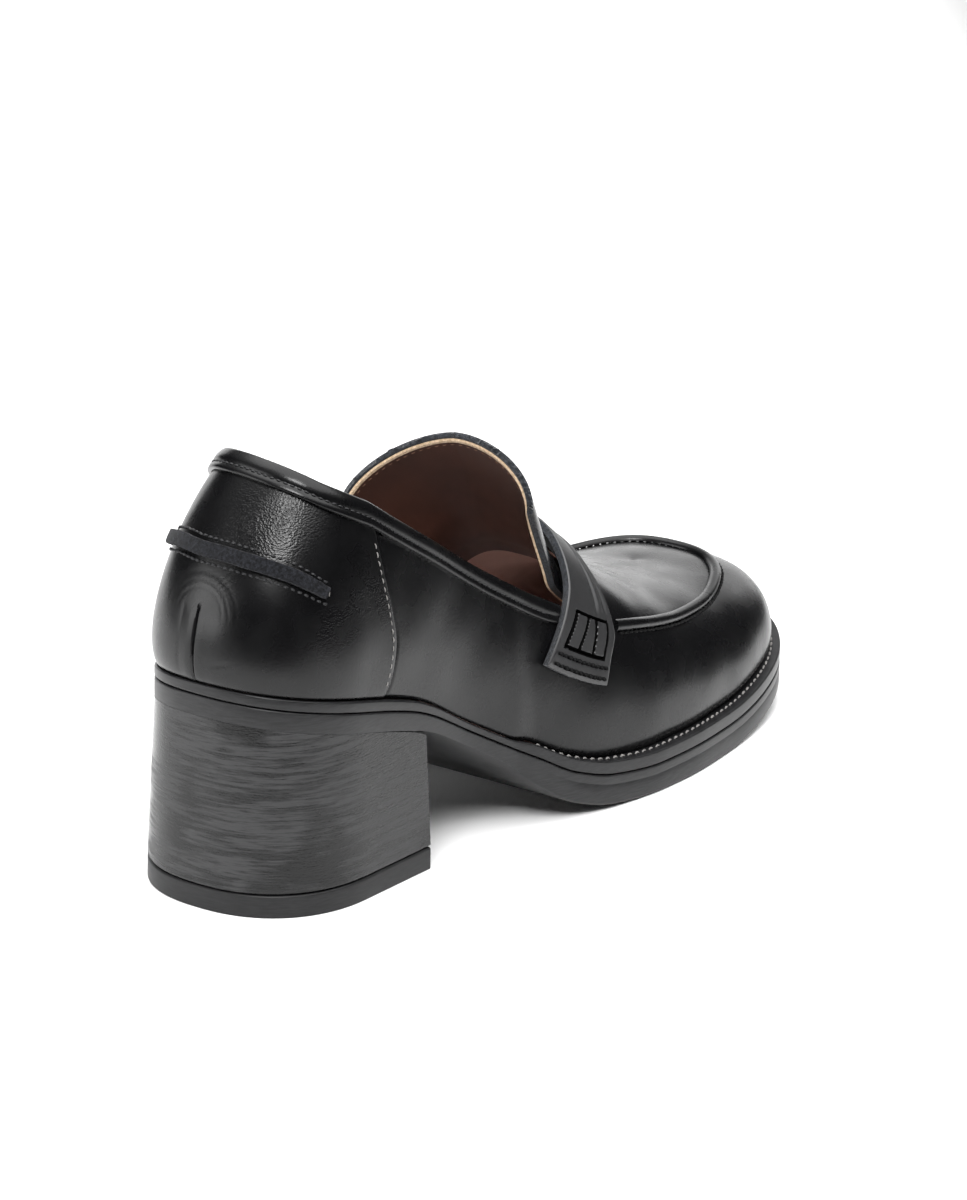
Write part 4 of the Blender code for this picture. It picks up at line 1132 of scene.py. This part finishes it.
def build_binding():
    """Folded band over the topline."""
    shares = back_shares(40, BINDING_END, 70)
    shares = np.append(shares, share_of(SADDLE_AT["back"](STRAP_MEETS_BAND)))
    turns = np.concatenate([-shares[::-1], shares[1:]])
    top = rise_at_height(turns, topline_height)
    x = station_x(np.abs(turns))
    step = COUNTER_LIFT * np.where(x < SEAM_MIDDLE, 1.0, 0.0)
    faded = COUNTER_LIFT * (1 - np.clip((x - SEAM_MIDDLE) / SEAM_FADE, 0, 1))
    full = GAP + BINDING_LIFT
    inner = -WALL - GAP
    rows = (
        (BINDING_WIDTH, 0.02, step),
        (BINDING_WIDTH, full - 0.35, faded),
        (BINDING_WIDTH - 0.15, full - 0.1, faded),
        (BINDING_WIDTH - 0.5, full, faded),
        (STITCH_DOWN + 0.7, full + 0.08, faded),
        (STITCH_DOWN + 0.3, full - 0.22, faded),
        (STITCH_DOWN, full - 0.34, faded),
        (STITCH_DOWN - 0.3, full - 0.22, faded),
        (STITCH_DOWN - 0.8, full + 0.05, faded),
        (STITCH_DOWN - 1.8, full + 0.12, faded),
        (BINDING_TOP + 0.5, full, faded),
        (0.8, full - 0.25, faded),
        (0.3, GAP + BINDING_LIFT * BINDING_SHOULDER, faded),
        (0.04, 0.0, faded * 0.5),
        (0.0, -WALL * 0.5, 0.0),
        (0.1, -WALL, 0.0),
        (0.35, inner - BINDING_LIFT * 0.5, 0.0),
        (BINDING_TOP + 0.6, inner - BINDING_LIFT * BINDING_LINING, 0.0),
        (BINDING_INSIDE, inner - BINDING_LIFT * BINDING_LINING, 0.0),
        (BINDING_INSIDE, inner, 0.0),
        (BINDING_TOP, inner, 0.0),
        (BINDING_TOP, 0.02, step),
    )
    sections = []
    for down, out, lift in rows:
        rise = top - down * rise_per_mm(turns, top)
        turn = turns.copy()
        turn[0] = -share_of(SADDLE_AT["back"](rise[0]) - BINDING_CLEAR)
        turn[-1] = share_of(SADDLE_AT["back"](rise[-1]) - BINDING_CLEAR)
        sections.append(skin(turn, rise, out + lift))
    piece = loft_piece("topline_band", np.stack(sections, 1), BLACK, crease_deg=50.0)
    dress(piece, "collar_binding", "collar_binding")


def build_heel_strap():
    turns = np.linspace(-HEEL_STRAP_TURN, HEEL_STRAP_TURN, 121)
    rises = rise_at_height(turns, heel_strap_height)
    half = HEEL_STRAP_AT["half"](turns)
    profile = [(-1.0, 0.1), (-1.0, 0.8), (-1.0, HEEL_STRAP_LIFT - 0.3), (-0.93, HEEL_STRAP_LIFT)]
    profile += [(-0.5, HEEL_STRAP_LIFT + 0.05), (0.0, HEEL_STRAP_LIFT + 0.06)]
    profile += [(-a, b) for a, b in profile[-2::-1]]
    sections = laid_strip(turns, rises, half, profile, COUNTER_LIFT)
    sections += np.random.default_rng(5).normal(0, 0.03, sections.shape)
    dress(loft_piece("heel_strip", sections, RAW_STRIP), "heel_strap", "heel_strap")


def apron_path(start, side_count, toe_count):
    """Turns and rises along the apron's seam, from its medial end round the toe to its lateral end."""
    side = joined((share_of(start), TOE_SHARE, side_count), (TOE_SHARE, 1, toe_count))
    x = station_x(side)
    turns = np.concatenate([side, 2 - side[::-1][1:]])
    return turns, np.concatenate([APRON_AT["medial"](x), APRON_AT["lateral"](x)[::-1][1:]])


def build_apron_seam():
    turns, rises = apron_path(SEAM_START, 71, 51)
    half = np.full(turns.shape, SEAM_HALF_WIDTH)
    angles = np.linspace(math.pi, 0, 13)
    profile = [(math.cos(a), 0.15 + (SEAM_HEIGHT * 1.12 - 0.15) * math.sin(a) ** 0.8) for a in angles]
    piece = loft_piece("apron_roll", laid_strip(turns, rises, half, profile, 0.0), BLACK)
    dress(piece, "apron_seam", "apron_seam")


def saddle_place(rise, across):
    """Share of the outline for a place on the saddle strap; across runs from its back edge to its front."""
    back = SADDLE_AT["back"](rise)
    return share_of(back + (SADDLE_AT["front"](rise) - back) * across)


def channel(distance):
    """Depth of a sewn channel at a distance from its middle."""
    wall = ramp(np.abs(distance), PANEL_CHANNEL_HALF * 0.6, PANEL_CHANNEL_HALF * 1.4)
    return PANEL_CHANNEL_DEPTH * (1 - wall)


def saddle_relief(rise, across, wide, high):
    """Sewn panels, their channels and the creases of the saddle strap, in millimetres.

    wide and high are the millimetres that a step of 1 takes across the strap and in rise.
    """
    inside = ramp(rise, PANEL_LOW - PANEL_SOFT, PANEL_LOW + PANEL_SOFT)
    inside = inside * (1 - ramp(rise, PANEL_TOP - PANEL_SOFT, PANEL_TOP + PANEL_SOFT))
    along = np.clip((rise - PANEL_LOW) / (PANEL_TOP - PANEL_LOW), 0, 1)
    relief = np.zeros(rise.shape)
    for low, top in PANEL_CHANNELS:
        relief -= channel((across - low - (top - low) * along) * wide) * inside
    first, last = PANEL_CHANNELS[0], PANEL_CHANNELS[-1]
    left = first[0] + (first[1] - first[0]) * along
    right = last[0] + (last[1] - last[0]) * along
    between_ends = ramp(across, left - 0.02, left) * (1 - ramp(across, right, right + 0.02))
    for level in (PANEL_LOW, PANEL_TOP):
        relief = np.minimum(relief, -channel((rise - level) * high) * between_ends)
    relief += PANEL_SWELL * between_ends * inside
    for start, end, depth in SADDLE_CREASES:
        run = np.clip((rise - PANEL_TOP) / (0.97 - PANEL_TOP), 0, 1)
        middle = start + (end - start) * run
        fold = ramp(rise, PANEL_TOP, PANEL_TOP + 0.05) * (1 - ramp(rise, 0.85, 0.99))
        relief -= depth * bell(across, middle, 0.045) * fold
        relief += depth * 0.7 * bell(across, middle + 0.10, 0.06) * fold
    return relief


def build_saddle():
    """Strap over the instep with its raw edge."""
    rises = joined((STRAP_LOW, SADDLE_FINE_TOP, 66), (SADDLE_FINE_TOP, 1.0, 71))
    rise_round = np.concatenate([rises, rises[::-1][1:]])
    side = np.concatenate([-np.ones(len(rises)), np.ones(len(rises) - 1)])
    across = np.linspace(0, 1, 151)
    rise = np.broadcast_to(rise_round[:, None], (len(rise_round), len(across)))
    wide = np.broadcast_to(across[None, :], rise.shape)
    turn = side[:, None] * saddle_place(rise, wide)
    low = GAP + STRAP_SAG
    edge = np.minimum(np.minimum(wide, 1 - wide) * 20.0, (rise - STRAP_LOW) / 0.03)
    rounding = -CUT_ROUNDING * np.clip(1 - edge / 0.7, 0, 1) ** 2
    span = SADDLE_AT["front"](rise) - SADDLE_AT["back"](rise)
    relief = saddle_relief(rise, wide, span, 1 / rise_per_mm(turn, rise))
    top = skin(turn, rise, low + SADDLE_THICK + rounding + relief)
    under = skin(turn, rise, low)
    middle = top * 0.55 + under * 0.45
    piece = sheet_solid("instep_strap", [top, middle, under], (0, 1), (1, 1), [STRAP, RAW_BLACK, CHANNEL_SHADE])
    # Faces deep in the panel channels take the painted shade.
    sunk = (relief < -CHANNEL_EDGE) & (rise < PANEL_TOP + 0.01)
    sunk = (sunk[:-1, :-1] | sunk[1:, :-1] | sunk[:-1, 1:] | sunk[1:, 1:]).ravel()
    for number in np.flatnonzero(sunk):
        piece.data.polygons[number].material_index = 2
    dress(piece, "saddle_strap", "saddle_strap")


def tongue_grid(count_across, count_rows):
    """Outer face of the tongue, as in the CAD source, smooth from its foot to its edge."""
    across = np.linspace(-1, 1, count_across)
    side = np.where(across < 0, -1.0, 1.0)
    rise = 1 - np.abs(across) * (1 - TONGUE_SIDE_RISE)
    start = throat_x(rise, side)
    inside = [skin(side * share_of(start + ahead), rise, -WALL - TONGUE_UNDER) for ahead in TONGUE_FOOT]
    behind_strap = np.minimum(start, SADDLE_AT["back"](rise)) - TONGUE_CLEAR
    inside.append(skin(side * share_of(behind_strap), rise, -TONGUE_CLEAR))
    arch = np.cos(across * math.pi / 2) ** (2 / TONGUE_SQUARE)
    spread = np.sign(across) * np.abs(np.sin(across * math.pi / 2)) ** (2 / TONGUE_SQUARE)
    top = np.stack(
        [
            TONGUE_EDGE_X + (TONGUE_TOP_X - TONGUE_EDGE_X) * arch + TONGUE_YAW * spread,
            TONGUE_HALF * spread + TONGUE_MIDDLE_Y,
            TONGUE_EDGE_Z + (TONGUE_TOP_Z - TONGUE_EDGE_Z) * arch - TONGUE_TILT * spread,
        ],
        -1,
    )
    rows = inside + [inside[-1] + (top - inside[-1]) * share for share in TONGUE_ROW_SHARES]
    return np.swapaxes(catmull_rows(np.stack(rows), count_rows), 0, 1)


def build_tongue():
    """Tongue of black leather with its brown lining, both with raw edges."""
    outer = tongue_grid(121, 73)
    normal = grid_normals(outer)
    black = TONGUE_THICK * TONGUE_BLACK_SHARE
    random = np.random.default_rng(9)
    frayed = outer - normal * black * 0.5
    frayed[:, -1] += random.normal(0, TONGUE_FRAY, frayed[:, -1].shape)
    layers = [
        outer,
        frayed,
        outer - normal * black,
        outer - normal * (black + 0.12),
        outer - normal * (TONGUE_THICK - 0.1),
        outer - normal * TONGUE_THICK,
    ]
    along = ramp(np.linspace(0, 1, outer.shape[1]), 0.5, 1.0)[None, :, None]
    up = outer[:, -1:] - outer[:, -2:-1]
    up /= np.linalg.norm(up, axis=-1, keepdims=True)
    for layer, reach in zip(layers, TONGUE_REACHES):
        layer += up * reach * along**8
    materials = [BLACK, LINING, RAW_BLACK, RAW_TAN]
    dress(sheet_solid("tongue_leather", layers, (0, 1), (2, 2, 2, 3, 3), materials), "tongue", "tongue")


# Stitches


def stitch_row(name, path, normal, stitch, material, slot):
    """A row of stitches along a path on a surface, joined in one mesh; each dips in at both ends."""
    pitch, radius, cover = stitch
    run = np.concatenate([[0.0], np.cumsum(np.linalg.norm(np.diff(path, axis=0), axis=-1))])
    count = max(1, round(run[-1] / pitch))
    step = run[-1] / count
    random = np.random.default_rng(count)
    along = np.linspace(0, 1, 7)
    ring = np.linspace(0, 2 * math.pi, 6, endpoint=False)
    quads = quad_faces(len(along), len(ring), wrap_v=True)
    points, faces = [], []
    for k in range(count):
        at = (k + (1 - cover) / 2 + along * cover) * step
        centre = np.stack([np.interp(at, run, path[:, i]) for i in range(3)], -1)
        up = np.stack([np.interp(at, run, normal[:, i]) for i in range(3)], -1)
        up /= np.linalg.norm(up, axis=-1, keepdims=True)
        ahead = centre[-1] - centre[0]
        aside = np.cross(up, ahead / np.linalg.norm(ahead))
        lean = random.normal(0, 0.35) * radius * (along - 0.5)
        rise = radius * (1.3 * np.sin(math.pi * along) ** 0.6 - 0.6)
        centre = centre + up * rise[:, None] + aside * lean[:, None]
        thick = radius * (0.6 + 0.4 * np.sin(math.pi * along)) * random.uniform(0.85, 1.1)
        circle = np.cos(ring)[None, :, None] * aside[:, None] + np.sin(ring)[None, :, None] * up[:, None]
        base = len(points) * len(along) * len(ring)
        points.append((centre[:, None] + circle * thick[:, None, None]).reshape(-1, 3))
        last = base + (len(along) - 1) * len(ring)
        faces += (quads + base).tolist()
        faces += [[base + i for i in range(len(ring))], [last + i for i in range(len(ring))]]
    dress(mesh_piece(name, np.concatenate(points), faces, [material]), slot)


def surface_row(name, turn, rise, out, *finish):
    """A row of stitches at a distance outside the upper's surface."""
    stitch_row(name, skin(turn, rise, out), last_normal(turn, rise), *finish)


def build_collar_stitches():
    end = share_of(BINDING_END)
    turn = np.linspace(-end, end, 400)
    top = rise_at_height(turn, topline_height)
    rise = top - STITCH_DOWN * rise_per_mm(turn, top)
    faded = COUNTER_LIFT * (1 - np.clip((station_x(np.abs(turn)) - SEAM_MIDDLE) / SEAM_FADE, 0, 1))
    path = skin(turn, rise, GAP + BINDING_LIFT - 0.3 + faded)
    stitch_row("collar_stitches", path, last_normal(turn, rise), COLLAR_STITCH, THREAD_DARK, "collar_binding")


def build_quarter_stitches():
    for name, side in (("lateral", -1.0), ("medial", 1.0)):
        top = topline_rise(np.array([side * share_of(SEAM_MIDDLE)]))[0]
        low_edge = top - BINDING_WIDTH * rise_per_mm(np.array(side * share_of(SEAM_MIDDLE)), np.array(top))
        rise = np.linspace(0.03, low_edge - 0.01, 120)
        turn = side * share_of(station_x(seam_share(rise, side)) - SEAM_STITCH_IN)
        surface_row("quarter_stitches_" + name, turn, rise, COUNTER_LIFT, SEAM_STITCH, THREAD_GREY_AND_GLINT, "upper")


def build_strip_stitches():
    turn = np.linspace(-HEEL_STRAP_TURN - 0.004, HEEL_STRAP_TURN, 160)
    middle = rise_at_height(turn, heel_strap_height)
    off = (HEEL_STRAP_AT["half"](turn) + STRIP_STITCH_OUT) * rise_per_mm(turn, middle)
    for name, side in (("upper", 1.0), ("lower", -1.0)):
        row = "strip_stitches_" + name
        rise = middle + side * off
        surface_row(row, turn, rise, COUNTER_LIFT, STRIP_STITCH, THREAD_DARK, "heel_strap")
    end = np.full(9, -HEEL_STRAP_TURN - 0.005)
    rise = np.linspace(middle[0] - off[0] * 0.6, middle[0] + off[0] * 0.6, 9)
    surface_row("strip_stitches_end", end, rise, COUNTER_LIFT, STRIP_END_STITCH, THREAD_GREY_AND_GLINT, "heel_strap")


def build_saddle_stitches():
    across = np.linspace(0.06, 0.94, 60)
    for name, side in (("lateral", -1.0), ("medial", 1.0)):
        for number, level in enumerate(SADDLE_STITCH_RISES):
            rise = np.full(across.shape, level)
            out = GAP + STRAP_SAG + SADDLE_THICK + 0.2
            finish = (SADDLE_STITCH, THREAD_BLACK, "saddle_strap")
            row = "saddle_stitches_%s_%d" % (name, number + 1)
            surface_row(row, side * saddle_place(rise, across), rise, out, *finish)


def build_welt_stitches():
    start = share_of(WELT_STITCH_START)
    turn = np.linspace(start, 2 - start, 700)
    x = outline(turn)[:, 0]
    place_at = inset_outline(turn, PLAN_AT["margin"](x) * 0.62)[0]
    z = SIDE_AT["joint_z"](place_at[:, 0]) + SIDE_AT["welt"](place_at[:, 0])
    up = np.tile([0.0, 0.0, 1.0], (len(turn), 1))
    path = np.column_stack([place_at, z])
    # The welt's dark thread is drawn light grey: painted glint.
    stitch_row("welt_stitches", path, up, WELT_STITCH, THREAD_GREY_AND_GLINT, "welt")


def build_apron_stitches():
    turn, rise = apron_path(SEAM_START + 1.0, 120, 80)
    rise = rise - (SEAM_HALF_WIDTH + 0.55) * rise_per_mm(turn, rise)
    surface_row("apron_stitches", turn, rise, 0.0, APRON_STITCH, THREAD_BLACK, "apron_seam")


def build_tongue_stitches():
    outer = tongue_grid(161, 73)
    normal = grid_normals(outer)
    inner = outer - normal * (TONGUE_THICK + 0.02)
    path, up = [], []
    for column, away in zip(inner[4:-4, ::-1], -normal[4:-4, ::-1]):
        run = np.concatenate([[0.0], np.linalg.norm(np.diff(column, axis=0), axis=-1).cumsum()])
        path.append([np.interp(LINING_STITCH_IN, run, column[:, i]) for i in range(3)])
        up.append([np.interp(LINING_STITCH_IN, run, away[:, i]) for i in range(3)])
    stitch_row("tongue_stitches", np.array(path), np.array(up), LINING_STITCH, THREAD_TAN, "tongue")


# Stage


def build_camera():
    """The photograph's viewpoint, turned to frame the one shoe."""
    azimuth, elevation = math.radians(PHOTO_AZIMUTH), math.radians(PHOTO_ELEVATION)
    back = Vector((
        math.sin(azimuth) * math.cos(elevation),
        -math.cos(azimuth) * math.cos(elevation),
        math.sin(elevation),
    ))
    target = Vector([float(v) for v in (np.array(PHOTO_TARGET) + ORIGIN) * MM])
    place_at = target + back * PHOTO_DISTANCE * MM
    ahead = (Vector(AIM) * MM - place_at).normalized()
    turn = (-back).rotation_difference(ahead)
    camera = placed("camera", bpy.data.cameras.new("camera"))
    camera.location = place_at
    camera.rotation_mode = "QUATERNION"
    camera.rotation_quaternion = turn @ back.to_track_quat("Z", "Y")
    camera.data.sensor_width = SENSOR
    camera.data.lens = SENSOR * FOCAL_PER_HEIGHT
    bpy.context.scene.camera = camera


def soft_light(name, place_at, aim, size, power):
    """A rectangular softbox, in metres and watts."""
    light = bpy.data.lights.new(name, "AREA")
    light.shape = "RECTANGLE"
    light.size, light.size_y = size
    light.energy = power
    lamp = placed(name, light)
    lamp.location = place_at
    lamp.rotation_euler = (Vector(place_at) - Vector(aim)).to_track_quat("Z", "Y").to_euler()


def build_stage():
    mesh = bpy.data.meshes.new("floor")
    mesh.from_pydata([(-9, -9, 0), (9, -9, 0), (9, 9, 0), (-9, 9, 0)], [], [(0, 1, 2, 3)])
    white = plain("white_floor", (FLOOR_TONES[0],) * 3, 0.9, specular=0.1)
    side = math.radians(PHOTO_AZIMUTH)
    past = node(white, "ShaderNodeMath", operation="MAXIMUM")
    for number, (across, ahead, reach) in enumerate((
        (math.sin(side), -math.cos(side), FLOOR_NEAR),
        (math.cos(side), math.sin(side), FLOOR_RIGHT),
    )):
        toward = node(white, "ShaderNodeVectorMath", operation="DOT_PRODUCT")
        toward.inputs[1].default_value = (across, ahead, 0.0)
        link(white, place(white), toward.inputs[0])
        beyond = between(white, toward.outputs["Value"], reach, reach + FLOOR_FADE, 0.0, 1.0)
        link(white, beyond, past.inputs[number])
    tone = between(white, past.outputs["Value"], 0.0, 1.0, *FLOOR_TONES)
    link(white, tone, socket(white, "Base Color"))
    mesh.materials.append(white)
    placed("floor", mesh)
    world = bpy.data.worlds.new("studio")
    world.use_nodes = True
    background = world.node_tree.nodes["Background"]
    background.inputs["Color"].default_value = (1, 1, 1, 1)
    height = node(world, "ShaderNodeSeparateXYZ")
    link(world, node(world, "ShaderNodeTexCoord").outputs["Generated"], height.inputs["Vector"])
    sky = between(world, height.outputs["Z"], SKY_LOW, SKY_HIGH, SKY_DIM, SKY_BRIGHT)
    link(world, sky, background.inputs["Strength"])
    bpy.context.scene.world = world
    bpy.context.scene.view_settings.view_transform = "Standard"
    for name, place_at, aim, size, power in LIGHTS:
        soft_light(name, place_at, aim, size, power)


for build in (
    build_camera,
    build_stage,
    build_outsole,
    build_welt,
    build_insole,
    build_heel,
    build_tap,
    build_upper,
    build_counter,
    build_binding,
    build_heel_strap,
    build_apron_seam,
    build_saddle,
    build_tongue,
    build_collar_stitches,
    build_quarter_stitches,
    build_strip_stitches,
    build_saddle_stitches,
    build_welt_stitches,
    build_apron_stitches,
    build_tongue_stitches,
):
    build()
